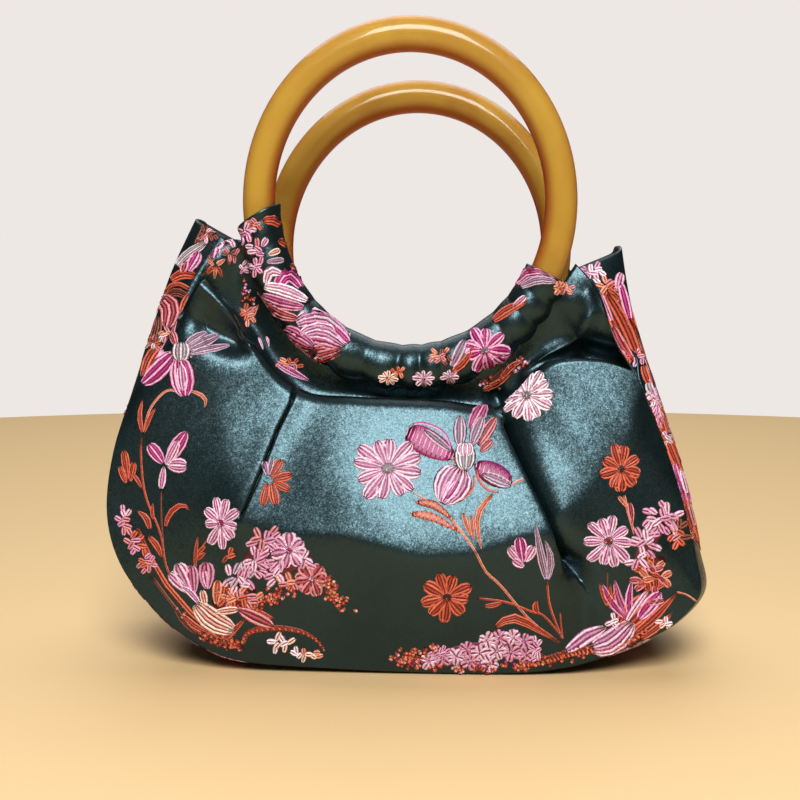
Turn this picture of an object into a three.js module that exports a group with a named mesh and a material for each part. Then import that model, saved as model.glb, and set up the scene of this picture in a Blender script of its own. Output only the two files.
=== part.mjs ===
// A small soft handbag of silk brocade, carried by two resin rings. Two pleated panels and one long strip make
// the pouch: the strip is its left side, base and right side, and the strip's ends stand up as pointed tabs.
// Each ring lies in a gathered sleeve of cloth, and a crescent yoke joins the sleeve to the panel.
// Millimetres, +Z up, front towards -Y, origin on the ground under the middle of the bag.
import * as THREE from 'three';

const CLOTH = 1.6; // brocade with its backing
const SEAM_GAP = 0.5; // clearance between pieces that are sewn together

const RING_RADIUS = 58.75; // half the ring's width, to the middle of its tube
const RING_TUBE = 6.25; // radius of the tube
const RING_STRETCH = 1.09; // a ring is this much taller than wide
const RING_SIDES = 12;
const RING_STEPS = 56;

const SLEEVE_SLACK = 0.9; // room between a ring and its sleeve
const SLEEVE_GATHER = 0.7; // height of the gathers
const SLEEVE_GATHERS = 9; // gathers along the sleeve
const SLEEVE_START = 185; // degrees round the ring, counted from its right side over its top
const SLEEVE_END = 334;
const SLEEVE_STEPS = 36;
const SLEEVE_SIDES = 8;

const PANEL_COLUMNS = 33;
const PANEL_ROWS = 11;
const BELLY_SHARPNESS = 1.7; // lower is a sharper fold across the belly
const YOKE_ROWS = 4;
const YOKE_HOLLOW = 2; // how far the yoke sinks between its two seams

const STRIP_STEPS = 60;
const STRIP_SIDES = 8;
const STRIP_FLAT = 0.5; // middle share of the strip that lies flat across its width
const LEFT_POINT = 0.006; // share of the strip's length by which the left tab's corners fall short
const RIGHT_POINT = 0.022;

// Where each side's ring sits. lean tips the top of the ring outwards, and drop lowers the top of the panel.
const SIDES = {
  front: { sign: -1, ringX: 0, ringY: -20.5, ringZ: 180.5, lean: 2.3, drop: 0 },
  back: { sign: 1, ringX: 2, ringY: 20.5, ringZ: 165.3, lean: 4.6, drop: 13 },
};

// The strip from the left tab down, along the base and up to the right tab. x and z give its middle line, half is
// half its width, and inset is how far its sewn edges lie inside the middle line.
const STRIP = [
  { x: -86, z: 176, half: 16, inset: 17 },
  { x: -95.5, z: 155, half: 21, inset: 13 },
  { x: -103.5, z: 131, half: 26, inset: 10 },
  { x: -110, z: 108, half: 31, inset: 4 },
  { x: -115.3, z: 87, half: 35, inset: 2 },
  { x: -118, z: 62, half: 38, inset: 2 },
  { x: -113.5, z: 41, half: 40, inset: 3 },
  { x: -100.5, z: 22.5, half: 41, inset: 3.5 },
  { x: -84.5, z: 8.5, half: 41, inset: 4 },
  { x: -66, z: 1.5, half: 41, inset: 3.5 },
  { x: -40, z: 0, half: 41, inset: 2.5 },
  { x: 0, z: 0, half: 41, inset: 1 },
  { x: 42, z: 0, half: 41, inset: 1 },
  { x: 66, z: 0.5, half: 41, inset: 4 },
  { x: 88, z: 8, half: 41, inset: 5 },
  { x: 105.5, z: 17.5, half: 40, inset: 5 },
  { x: 116.5, z: 30.5, half: 39, inset: 6 },
  { x: 114, z: 47, half: 37, inset: 5 },
  { x: 109, z: 71, half: 35, inset: 5.5 },
  { x: 102.5, z: 93, half: 31, inset: 6 },
  { x: 95.5, z: 113.5, half: 27, inset: 7 },
  { x: 90, z: 131, half: 24, inset: 11 },
  { x: 86.2, z: 148.5, half: 21, inset: 13 },
  { x: 84, z: 165, half: 16, inset: 24 },
];

// Lines that run down the panel from the yoke to the strip, left to right. x, y and z are the top end for the
// front, row is where the bottom end meets the strip, counted in rows of its table, angle is where the line
// would meet the ring's sleeve, bulge is how far the cloth swells, pleat how deep a fold lies on the line, and
// flare how far the yoke above bows sideways to meet the strip.
const RIBS = [
  { x: -81, y: -27, z: 149, row: 1.7, angle: 186, bulge: 2, pleat: 0, flare: -3 },
  { x: -66, y: -29, z: 135, row: 3.2, angle: 202, bulge: 5, pleat: 0, flare: 0 },
  { x: -54, y: -30, z: 118, row: 5.2, angle: 222, bulge: 9, pleat: 0, flare: 0 },
  { x: -42, y: -30, z: 107.5, row: 8.1, angle: 239, bulge: 12, pleat: 3, flare: 0 },
  { x: -23, y: -31, z: 106, row: 9.7, angle: 252, bulge: 15, pleat: 0, flare: 0 },
  { x: -3, y: -31, z: 105, row: 10.7, angle: 265, bulge: 16, pleat: 0, flare: 0 },
  { x: 15, y: -31, z: 104, row: 11.6, angle: 279, bulge: 15, pleat: 0, flare: 0 },
  { x: 31, y: -30, z: 102.5, row: 13.2, angle: 292, bulge: 13, pleat: 6, flare: 0 },
  { x: 41, y: -30, z: 108, row: 14.9, angle: 302, bulge: 11, pleat: 0, flare: 0 },
  { x: 54, y: -30, z: 120, row: 17, angle: 312, bulge: 8, pleat: 0, flare: 0 },
  { x: 72, y: -30, z: 120.5, row: 18.7, angle: 323, bulge: 5, pleat: 0, flare: 0 },
  { x: 86, y: -31, z: 116, row: 19.6, angle: 332, bulge: 2, pleat: 0, flare: 3 },
];
const PLEAT_WIDTH = 0.45; // in rows of the rib table
const PLEAT_FOOT = 0.15; // share of the panel's height where a pleat has died away
const PLEAT_FULL = 0.7; // share of the panel's height above which a pleat is at its deepest

const RESIN = new THREE.MeshStandardMaterial({ color: '#cb982f', roughness: 0.15, metalness: 0 });
const BROCADE = new THREE.MeshStandardMaterial({ color: '#1b2c2c', roughness: 0.45, metalness: 0 });

// Reads a column of a table at a share of its length, on a smooth cubic through the rows.
function along(rows, column, share) {
  const last = rows.length - 1;
  const place = THREE.MathUtils.clamp(share, 0, 1) * last;
  const row = Math.min(Math.floor(place), last - 1);
  const f = place - row;
  const at = (k) => rows[THREE.MathUtils.clamp(k, 0, last)][column];
  const [a, b, c, d] = [at(row - 1), at(row), at(row + 1), at(row + 2)];
  return b + 0.5 * f * (c - a + f * (2 * a - 5 * b + 4 * c - d + f * (3 * (b - c) + d - a)));
}

// A closed wall between two surfaces over the same grid. across and down run from 0 to 1, and a wrapped wall is a
// tube that closes on itself across the second direction.
function wall(outer, inner, columns, rows, wrapped) {
  const positions = [];
  const triangles = [];
  const rowCount = wrapped ? rows : rows + 1;
  for (const surface of [outer, inner]) {
    for (let i = 0; i <= columns; i += 1) {
      for (let j = 0; j < rowCount; j += 1) {
        positions.push(...surface(i / columns, j / rows).toArray());
      }
    }
  }
  const layer = (columns + 1) * rowCount;
  const at = (i, j, side) => side * layer + i * rowCount + (j % rowCount);
  const quad = (a, b, c, d) => triangles.push(a, b, c, a, c, d);
  for (let i = 0; i < columns; i += 1) {
    for (let j = 0; j < rows; j += 1) {
      quad(at(i, j, 0), at(i + 1, j, 0), at(i + 1, j + 1, 0), at(i, j + 1, 0));
      quad(at(i, j, 1), at(i, j + 1, 1), at(i + 1, j + 1, 1), at(i + 1, j, 1));
    }
    if (!wrapped) {
      quad(at(i, 0, 0), at(i, 0, 1), at(i + 1, 0, 1), at(i + 1, 0, 0));
      quad(at(i, rows, 0), at(i + 1, rows, 0), at(i + 1, rows, 1), at(i, rows, 1));
    }
  }
  for (let j = 0; j < rows; j += 1) {
    quad(at(0, j, 0), at(0, j + 1, 0), at(0, j + 1, 1), at(0, j, 1));
    quad(at(columns, j, 0), at(columns, j, 1), at(columns, j + 1, 1), at(columns, j + 1, 0));
  }
  const geometry = new THREE.BufferGeometry();
  geometry.setAttribute('position', new THREE.Float32BufferAttribute(positions, 3));
  geometry.setIndex(triangles);
  geometry.computeVertexNormals();
  return geometry;
}

// A surface one cloth thickness inside another, along its normal.
function lining(outer) {
  const step = 1e-3;
  return (u, v) => {
    const du = outer(Math.min(u + step, 1), v).sub(outer(Math.max(u - step, 0), v));
    const dv = outer(u, Math.min(v + step, 1)).sub(outer(u, Math.max(v - step, 0)));
    const normal = du.cross(dv).normalize();
    return outer(u, v).addScaledVector(normal, -CLOTH);
  };
}

// A point of the strip's middle line moved inwards, across the line and towards the middle of the bag.
function stripPoint(share, inset, y) {
  const step = 1e-3;
  const slope = (column) => along(STRIP, column, share + step) - along(STRIP, column, share - step);
  const tangent = new THREE.Vector2(slope('x'), slope('z')).normalize();
  const x = along(STRIP, 'x', share) - tangent.y * inset;
  const z = Math.max(0, along(STRIP, 'z', share)) + tangent.x * inset;
  return new THREE.Vector3(x, y, z);
}

// The strip: flat across its middle, curling in to its sewn edges, with its ends cut to a point.
function stripSurface(u, v) {
  const w = 1 - 2 * v;
  const share = THREE.MathUtils.lerp(LEFT_POINT * w * w, 1 - RIGHT_POINT * w * w, u);
  const curl = Math.max(0, (Math.abs(w) - STRIP_FLAT) / (1 - STRIP_FLAT)) ** 2;
  return stripPoint(share, along(STRIP, 'inset', share) * curl, along(STRIP, 'half', share) * w);
}

// A point beside a ring: angle in degrees round the ring, and a place in the tube's own section.
function ringPoint(side, angle, outwards, forwards) {
  const turn = THREE.MathUtils.degToRad(angle);
  const lean = THREE.MathUtils.degToRad(side.lean) * side.sign;
  const radius = RING_RADIUS + outwards;
  const point = new THREE.Vector3(radius * Math.cos(turn), forwards, radius * Math.sin(turn) * RING_STRETCH);
  point.applyAxisAngle(new THREE.Vector3(1, 0, 0), -lean);
  return point.add(new THREE.Vector3(side.ringX, side.ringY, side.ringZ));
}

// A ring: a round tube closed on itself, a little taller than wide and leaning out at the top.
function ringGeometry(side) {
  const geometry = new THREE.TorusGeometry(RING_RADIUS, RING_TUBE, RING_SIDES, RING_STEPS);
  geometry.rotateX(Math.PI / 2);
  geometry.scale(1, 1, RING_STRETCH);
  geometry.rotateX(-THREE.MathUtils.degToRad(side.lean) * side.sign);
  geometry.translate(side.ringX, side.ringY, side.ringZ);
  return geometry;
}

// A sleeve round the lower arc of a ring, its outside raised in gathers.
function sleeveSurface(side, radius, gather) {
  return (u, v) => {
    const angle = THREE.MathUtils.lerp(SLEEVE_START, SLEEVE_END, u);
    const section = v * 2 * Math.PI;
    const fold = gather * 0.5 * (1 - Math.cos(2 * Math.PI * SLEEVE_GATHERS * u));
    const reach = radius + fold;
    return ringPoint(side, angle, reach * Math.cos(section), -reach * Math.sin(section));
  };
}
const SLEEVE_INSIDE = RING_TUBE + SLEEVE_SLACK;

// The top end of a rib, on this side of the bag. The back hangs lower in the middle than at its corners.
function ribTop(side, share) {
  const hang = side.drop * Math.sin(Math.PI * share) ** 0.7;
  const x = along(RIBS, 'x', share) + side.ringX * Math.sin(Math.PI * share);
  return new THREE.Vector3(x, -side.sign * along(RIBS, 'y', share), along(RIBS, 'z', share) - hang);
}

// The bottom end of a rib, just outside the sewn edge of the strip.
function ribFoot(side, share) {
  const row = along(RIBS, 'row', share) / (STRIP.length - 1);
  const y = side.sign * (along(STRIP, 'half', row) + CLOTH + SEAM_GAP);
  return stripPoint(row, along(STRIP, 'inset', row), y);
}

// How deep the pleats sink the panel at a place, fading towards the belly.
function pleatDepth(share, height) {
  const place = share * (RIBS.length - 1);
  const fade = THREE.MathUtils.smoothstep(height, PLEAT_FOOT, PLEAT_FULL);
  const depth = (rib, index) => rib.pleat * Math.exp(-(((place - index) / PLEAT_WIDTH) ** 2));
  return fade * RIBS.reduce((sum, rib, index) => sum + depth(rib, index), 0);
}

// A panel: ribs from the strip up to the yoke, swelling to a soft fold across the belly, sunk along the pleats.
function panelSurface(side) {
  return (u, v) => {
    const share = side.sign < 0 ? u : 1 - u;
    const point = ribFoot(side, share).lerp(ribTop(side, share), v);
    const belly = 1 - Math.abs(2 * v - 1) ** BELLY_SHARPNESS;
    point.y += side.sign * (along(RIBS, 'bulge', share) * belly - pleatDepth(share, v));
    return point;
  };
}

// A yoke: from just above the panel's top edge to just outside the sleeve, a little hollow between.
function yokeSurface(side) {
  return (u, v) => {
    const share = side.sign < 0 ? u : 1 - u;
    const low = ribTop(side, share);
    low.y -= side.sign * pleatDepth(share, 1);
    const clear = SLEEVE_INSIDE + CLOTH + SLEEVE_GATHER + SEAM_GAP;
    const high = ringPoint(side, along(RIBS, 'angle', share), clear, 0);
    low.addScaledVector(high.clone().sub(low).normalize(), CLOTH + SEAM_GAP);
    const point = low.lerp(high, v);
    const bow = Math.sin(Math.PI * v);
    point.x += along(RIBS, 'flare', share) * bow;
    point.y -= side.sign * YOKE_HOLLOW * bow;
    return point;
  };
}

const bag = new THREE.Group();

function addPiece(name, geometry, material) {
  const mesh = new THREE.Mesh(geometry, material);
  mesh.name = name;
  bag.add(mesh);
}

addPiece('gusset', wall(stripSurface, lining(stripSurface), STRIP_STEPS, STRIP_SIDES, false), BROCADE);

for (const [name, side] of Object.entries(SIDES)) {
  const panel = panelSurface(side);
  const yoke = yokeSurface(side);
  const sleeveInner = sleeveSurface(side, SLEEVE_INSIDE, 0);
  const sleeveOuter = sleeveSurface(side, SLEEVE_INSIDE + CLOTH, SLEEVE_GATHER);
  addPiece(`${name}_panel`, wall(panel, lining(panel), PANEL_COLUMNS, PANEL_ROWS, false), BROCADE);
  addPiece(`${name}_yoke`, wall(yoke, lining(yoke), PANEL_COLUMNS, YOKE_ROWS, false), BROCADE);
  addPiece(`${name}_casing`, wall(sleeveOuter, sleeveInner, SLEEVE_STEPS, SLEEVE_SIDES, true), BROCADE);
  addPiece(`${name}_ring`, ringGeometry(side), RESIN);
}

export default bag;
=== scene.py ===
import math

import bpy
import numpy as np
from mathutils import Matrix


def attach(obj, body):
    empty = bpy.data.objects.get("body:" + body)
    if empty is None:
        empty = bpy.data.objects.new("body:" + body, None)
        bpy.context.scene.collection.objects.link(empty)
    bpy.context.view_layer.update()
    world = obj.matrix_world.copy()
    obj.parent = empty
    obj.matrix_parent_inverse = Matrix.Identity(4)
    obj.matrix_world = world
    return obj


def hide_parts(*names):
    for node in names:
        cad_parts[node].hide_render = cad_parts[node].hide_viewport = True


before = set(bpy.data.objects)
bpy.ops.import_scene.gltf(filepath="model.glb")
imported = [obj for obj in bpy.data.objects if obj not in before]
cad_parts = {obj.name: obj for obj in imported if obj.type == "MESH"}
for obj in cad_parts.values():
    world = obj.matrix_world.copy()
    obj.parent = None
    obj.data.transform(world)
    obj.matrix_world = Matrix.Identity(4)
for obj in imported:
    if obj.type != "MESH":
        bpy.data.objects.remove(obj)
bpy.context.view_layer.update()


# The view
# A camera half a metre in front of the bag and a little above its middle, turned slightly down and left.
# Folds and flowers seen from the front are placed through it, on the cloth that carries them.
MM = 0.001
PICTURE_SIDE = 800
FOCAL_LENGTH = 1200
EYE = np.array([12.4, -491.2, 140.4])
LOOK_DOWN = math.radians(4.44)
LOOK_LEFT = math.radians(1.96)
SENSOR_WIDTH = 36


def to_picture(points):
    """Pixels where points fall: each offset from the eye along the picture's right and up, over its depth."""
    forward = np.array(
        [
            -math.sin(LOOK_LEFT) * math.cos(LOOK_DOWN),
            math.cos(LOOK_LEFT) * math.cos(LOOK_DOWN),
            -math.sin(LOOK_DOWN),
        ]
    )
    right = np.array([math.cos(LOOK_LEFT), math.sin(LOOK_LEFT), 0])
    up = np.cross(right, forward)
    offset = points - EYE
    depth = offset @ forward
    across = PICTURE_SIDE / 2 + FOCAL_LENGTH * (offset @ right) / depth
    down = PICTURE_SIDE / 2 - FOCAL_LENGTH * (offset @ up) / depth
    return np.stack([across, down], axis=-1)


camera_data = bpy.data.cameras.new("camera")
camera_data.sensor_width = SENSOR_WIDTH
camera_data.lens = SENSOR_WIDTH * FOCAL_LENGTH / PICTURE_SIDE
camera = bpy.data.objects.new("camera", camera_data)
camera.location = EYE * MM
camera.rotation_euler = (math.pi / 2 - LOOK_DOWN, 0, LOOK_LEFT)
bpy.context.scene.collection.objects.link(camera)
bpy.context.scene.camera = camera


# The strip
# One long strip of brocade makes the bag's left side, base and right side, sewn to both panels at its edges.
# Its two ends stand free above the seams as tabs. Dark green satin with flowers woven in raised thread.
# Rows run from the left tab to the right one: x, height, half depth, and how far the sewn edges curl in.
STRIP = np.array(
    [
        (-86, 176, 16, 17),
        (-95.5, 155, 21, 13),
        (-103.5, 131, 26, 10),
        (-110, 108, 31, 4),
        (-115.3, 87, 35, 2),
        (-118, 62, 38, 2),
        (-113.5, 41, 40, 3),
        (-100.5, 22.5, 41, 3.5),
        (-84.5, 8.5, 41, 4),
        (-66, 1.5, 41, 3.5),
        (-40, 0, 41, 2.5),
        (0, 0, 41, 1),
        (42, 0, 41, 1),
        (66, 0.5, 41, 4),
        (88, 8, 41, 5),
        (105.5, 17.5, 40, 5),
        (116.5, 30.5, 39, 6),
        (114, 47, 37, 5),
        (109, 71, 35, 5.5),
        (102.5, 93, 31, 6),
        (95.5, 113.5, 27, 7),
        (90, 131, 24, 11),
        (86.2, 148.5, 21, 13),
        (84, 165, 16, 24),
    ]
)
STRIP_FLAT = 0.5
LEFT_POINT = 0.006
RIGHT_POINT = 0.022
STRIP_GRID = (260, 44)
CLOTH_THICKNESS = 1.2


def along(rows, share):
    """Rows of a table read at shares 0 to 1 of its length, on a smooth cubic through the rows."""
    last = len(rows) - 1
    place = np.clip(share, 0, 1) * last
    first = np.minimum(place.astype(int), last - 1)
    t = (place - first)[..., None]
    a, b, c, d = (rows[np.clip(first + k, 0, last)] for k in (-1, 0, 1, 2))
    return b + 0.5 * t * (c - a + t * (2 * a - 5 * b + 4 * c - d + t * (3 * (b - c) + d - a)))


def read(rows, share):
    """The columns of a table, each read at the shares."""
    return np.moveaxis(along(rows, share), -1, 0)


def shares(count):
    """Evenly spaced shares of a grid: the first along its rows, the second along its columns."""
    return np.linspace(0, 1, count[0])[:, None], np.linspace(0, 1, count[1])[None, :]


def strip_point(share, inset, y):
    """The strip's middle line, moved inwards by inset along the line's own normal, at depth y."""
    step = 1e-3
    here = along(STRIP, share)
    slope = along(STRIP, share + step)[..., :2] - along(STRIP, share - step)[..., :2]
    slope = slope / np.linalg.norm(slope, axis=-1, keepdims=True)
    x = here[..., 0] - slope[..., 1] * inset
    z = np.maximum(here[..., 1], 0) + slope[..., 0] * inset
    return np.stack(np.broadcast_arrays(x, y, z), axis=-1)


def strip_surface(u, v):
    """Flat across the middle, curling in to the sewn edges, with the ends cut to a point."""
    w = 1 - 2 * v
    share = LEFT_POINT * w**2 + (1 - (LEFT_POINT + RIGHT_POINT) * w**2) * u
    _, _, half_depth, edge_curl = read(STRIP, share)
    curl = np.maximum(0, (np.abs(w) - STRIP_FLAT) / (1 - STRIP_FLAT)) ** 2
    return strip_point(share, edge_curl * curl, half_depth * w)


def normals_of(points):
    """Unit normals of a grid: the cross product of its differences along rows and along columns."""
    normal = np.cross(np.gradient(points, axis=0), np.gradient(points, axis=1))
    return normal / np.maximum(np.linalg.norm(normal, axis=-1, keepdims=True), 1e-9)


def grid_faces(rows, columns, wrap_rows=False, wrap_columns=False):
    """Quads of a grid, as indices of its points row by row."""
    i = np.arange(rows if wrap_rows else rows - 1)[:, None]
    j = np.arange(columns if wrap_columns else columns - 1)[None, :]
    i, j = np.broadcast_arrays(i, j)
    after_i, after_j = (i + 1) % rows, (j + 1) % columns
    corners = [i * columns + j, after_i * columns + j, after_i * columns + after_j, i * columns + after_j]
    return np.stack(corners, axis=-1).reshape(-1, 4)


def add_mesh(name, points, faces, materials, cad_node=None):
    """A mesh object at the origin from points in millimetres, riding on the bag and standing for a node."""
    mesh = bpy.data.meshes.new(name)
    mesh.from_pydata((points.reshape(-1, 3) * MM).tolist(), [], faces)
    mesh.polygons.foreach_set("use_smooth", np.ones(len(mesh.polygons), bool))
    for material in materials:
        mesh.materials.append(material)
    thing = bpy.data.objects.new(name, mesh)
    bpy.context.scene.collection.objects.link(thing)
    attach(thing, "root")
    if cad_node:
        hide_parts(cad_node)
    return thing


def new_material(name):
    """An empty material with its node tree, Principled shader and output."""
    material = bpy.data.materials.new(name)
    material.use_nodes = True
    return material, material.node_tree, material.node_tree.nodes["Principled BSDF"]


def node(tree, kind, links=(), values=(), **settings):
    """A shader node with its inputs linked from sockets or set to values."""
    made = tree.nodes.new(kind)
    for key, value in settings.items():
        setattr(made, key, value)
    for key, value in values:
        made.inputs[key].default_value = value
    for key, socket in links:
        tree.links.new(socket, made.inputs[key])
    return made


def linear(red, green, blue):
    """A colour as the eye names it, 0 to 255 a channel, in linear light."""
    value = np.array([red, green, blue]) / 255
    return tuple(np.where(value <= 0.04045, value / 12.92, ((value + 0.055) / 1.055) ** 2.4).tolist())


NOISE_RANGE = (0.3, 0.7)


def noise(tree, scale, detail, distortion=0.0):
    """Cloudy noise over the piece's own coordinates; scale is in clouds a metre."""
    place = node(tree, "ShaderNodeTexCoord").outputs["Object"]
    values = [("Scale", scale), ("Detail", detail), ("Distortion", distortion)]
    return node(tree, "ShaderNodeTexNoise", [("Vector", place)], values)


def ranged(tree, value, least, most):
    """Noise spread over a range: least and most are reached at the ends of its usual range."""
    low, high = NOISE_RANGE
    values = [("From Min", low), ("From Max", high), ("To Min", least), ("To Max", most)]
    return node(tree, "ShaderNodeMapRange", [("Value", value)], values).outputs["Result"]


def ramp(tree, value, low, high, first, last):
    """A colour that runs from first, where the value is low, to last, where it is high."""
    made = node(tree, "ShaderNodeValToRGB", [("Fac", value)])
    for element, position, colour in zip(made.color_ramp.elements, (low, high), (first, last)):
        element.position = position
        element.color = (*colour, 1)
    return made.outputs["Color"]


def wobble(tree, colour, amount):
    """A small vector from a random colour: each channel less a half, times the amount."""
    half_less = [(1, (-0.5, -0.5, -0.5))]
    centred = node(tree, "ShaderNodeVectorMath", [(0, colour)], half_less, operation="ADD").outputs[0]
    return node(
        tree, "ShaderNodeVectorMath", [(0, centred)], [("Scale", amount)], operation="SCALE"
    ).outputs[0]


# Satin: short floats of thread lie at slightly different tilts, so the sheen breaks into fine sparkle.
FLOAT_SIZE = 0.42
FLOAT_TILT = 0.13
PUCKER_SIZE = 2.2
PUCKER_TILT = 0.12
SATIN_CLOUDS = 70
SATIN_GRAIN = 1900
SATIN_ROUGHNESS = (0.27, 0.41)
SATIN_DEEP = linear(5, 11, 12)
SATIN_PALE = linear(9, 21, 23)
SATIN_SHEEN = linear(189, 238, 252)
REVERSE_GRAIN = 900
REVERSE_DEEP = linear(24, 24, 26)
REVERSE_PALE = linear(58, 46, 46)

weave = bpy.data.node_groups.new("satin_floats", "ShaderNodeTree")
weave.interface.new_socket("Tone", in_out="OUTPUT", socket_type="NodeSocketFloat")
weave.interface.new_socket("Shine", in_out="OUTPUT", socket_type="NodeSocketFloat")
weave.interface.new_socket("Normal", in_out="OUTPUT", socket_type="NodeSocketVector")
weave_out = weave.nodes.new("NodeGroupOutput")
floats = node(
    weave,
    "ShaderNodeTexVoronoi",
    [("Vector", node(weave, "ShaderNodeTexCoord").outputs["Object"])],
    [("Scale", 1 / (FLOAT_SIZE * MM))],
)
pucker = noise(weave, 1 / (PUCKER_SIZE * MM), 1.0)
tilted = node(weave, "ShaderNodeNewGeometry").outputs["Normal"]
for texture, amount in ((floats, FLOAT_TILT), (pucker, PUCKER_TILT)):
    tilt = wobble(weave, texture.outputs["Color"], amount)
    tilted = node(weave, "ShaderNodeVectorMath", [(0, tilted), (1, tilt)], operation="ADD").outputs[0]
tilted = node(weave, "ShaderNodeVectorMath", [(0, tilted)], operation="NORMALIZE").outputs[0]
weave.links.new(noise(weave, SATIN_CLOUDS, 3.0).outputs["Fac"], weave_out.inputs["Tone"])
weave.links.new(noise(weave, SATIN_GRAIN, 2.0).outputs["Fac"], weave_out.inputs["Shine"])
weave.links.new(tilted, weave_out.inputs["Normal"])

satin, tree, shader = new_material("brocade_satin")
floats_here = node(tree, "ShaderNodeGroup", node_tree=weave)
ground = ramp(tree, floats_here.outputs["Tone"], 0.35, 0.7, SATIN_DEEP, SATIN_PALE)
rough = ranged(tree, floats_here.outputs["Shine"], *SATIN_ROUGHNESS)
tree.links.new(ground, shader.inputs["Base Color"])
tree.links.new(rough, shader.inputs["Roughness"])
tree.links.new(floats_here.outputs["Normal"], shader.inputs["Normal"])
shader.inputs["Specular IOR Level"].default_value = 0.66
shader.inputs["Specular Tint"].default_value = (*SATIN_SHEEN, 1)

reverse, tree, shader = new_material("brocade_reverse")
reverse_tone = ramp(tree, noise(tree, REVERSE_GRAIN, 3.0).outputs["Fac"], 0, 1, REVERSE_DEEP, REVERSE_PALE)
tree.links.new(reverse_tone, shader.inputs["Base Color"])
shader.inputs["Roughness"].default_value = 0.85


def add_cloth(name, points, cad_node, wrap_columns=False):
    """A cloth wall: the outer face as a grid, thickened inwards, with the dull reverse side inside."""
    faces = grid_faces(*points.shape[:2], wrap_columns=wrap_columns).tolist()
    thing = add_mesh(name, points, faces, [satin, reverse], cad_node)
    wall = thing.modifiers.new("wall", "SOLIDIFY")
    wall.thickness = CLOTH_THICKNESS * MM
    wall.offset = -1
    wall.material_offset = 1
    return thing


# Woven flowers: every petal and leaf is a low pad of deep thread under raised ribs of bright thread.
# Threads have a deep, an outer and an inner colour.
THREADS = {
    "white": ((150, 84, 118), (243, 226, 234), (208, 166, 188)),
    "blush": ((136, 46, 96), (226, 192, 211), (196, 136, 172)),
    "pink": ((108, 18, 62), (208, 146, 176), (182, 86, 134)),
    "magenta": ((118, 10, 70), (224, 164, 198), (170, 40, 118)),
    "mauve": ((92, 60, 84), (194, 168, 188), (146, 112, 136)),
    "rose": ((84, 18, 30), (208, 132, 140), (164, 64, 72)),
    "rust": ((92, 22, 16), (204, 98, 70), (160, 58, 42)),
    "coral": ((150, 64, 48), (222, 150, 124), (194, 108, 84)),
    "cream": ((124, 36, 34), (238, 208, 194), (206, 152, 138)),
    "brown": ((38, 16, 14), (132, 70, 52), (92, 42, 32)),
    "grey": ((96, 80, 90), (208, 198, 204), (158, 144, 152)),
}
PAD_ACROSS = np.array([-1, -0.6, 0, 0.6, 1])
RIB_ACROSS = np.array([-1, 0, 1])
PAD_CROWN = 0.4
PAD_DEPTH = 0.7
RIB_CROWN = 0.34
RIB_DEPTH = 0.3
RIB_SPAN = (0.03, 0.995)
RIB_SECTIONS = 8
OVAL_CROWN = 0.26
OVAL_ROOM = 0.45
RIM_SINK = 0.12
RIB_RIDE = 0.8
STEM_DEPTH = 0.5
STEM_SECTIONS = 17
GRAIN_SECTIONS = 5

# Share of the half width left free beside the ribs, and how much of the rest they fill.
PETAL_RIM = (0.05, 0.84)
OVAL_RIM = (0.2, 0.96)

# Ribs across a pad: the span of its length that they cover, how far they reach to its edge, their slant as a
# share of the step between them, their half widths as shares of that step, and their lift.
HATCH_SPAN = (0.1, 0.92)
HATCH_REACH = 0.92
HATCH_SLANT = 0.4
THIN_HATCH = 0.2
FULL_HATCH = 0.38
HATCH_LIFT = 0.24
HATCH_SECTIONS = 5


def arch(share, bulk, blunt):
    """Half widths along a stroke, as shares of the widest: an arch fuller near the tip as bulk grows."""
    return np.sin(np.pi * share**bulk).clip(0, 1) ** blunt


def sideways(line):
    """Unit directions square to a line at each of its points."""
    heading = np.gradient(line, axis=0)
    heading = heading / np.linalg.norm(heading, axis=-1, keepdims=True)
    return np.stack([-heading[:, 1], heading[:, 0]], axis=-1)


def stroke(line, half, colour, crown, lift, depth, across=RIB_ACROSS):
    """One cushion of thread: middle line, half widths, colour, height, lift, and depth of its underside."""
    return {"line": line, "half": half, "colour": colour, "rise": (crown, lift, depth), "across": across}


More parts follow.
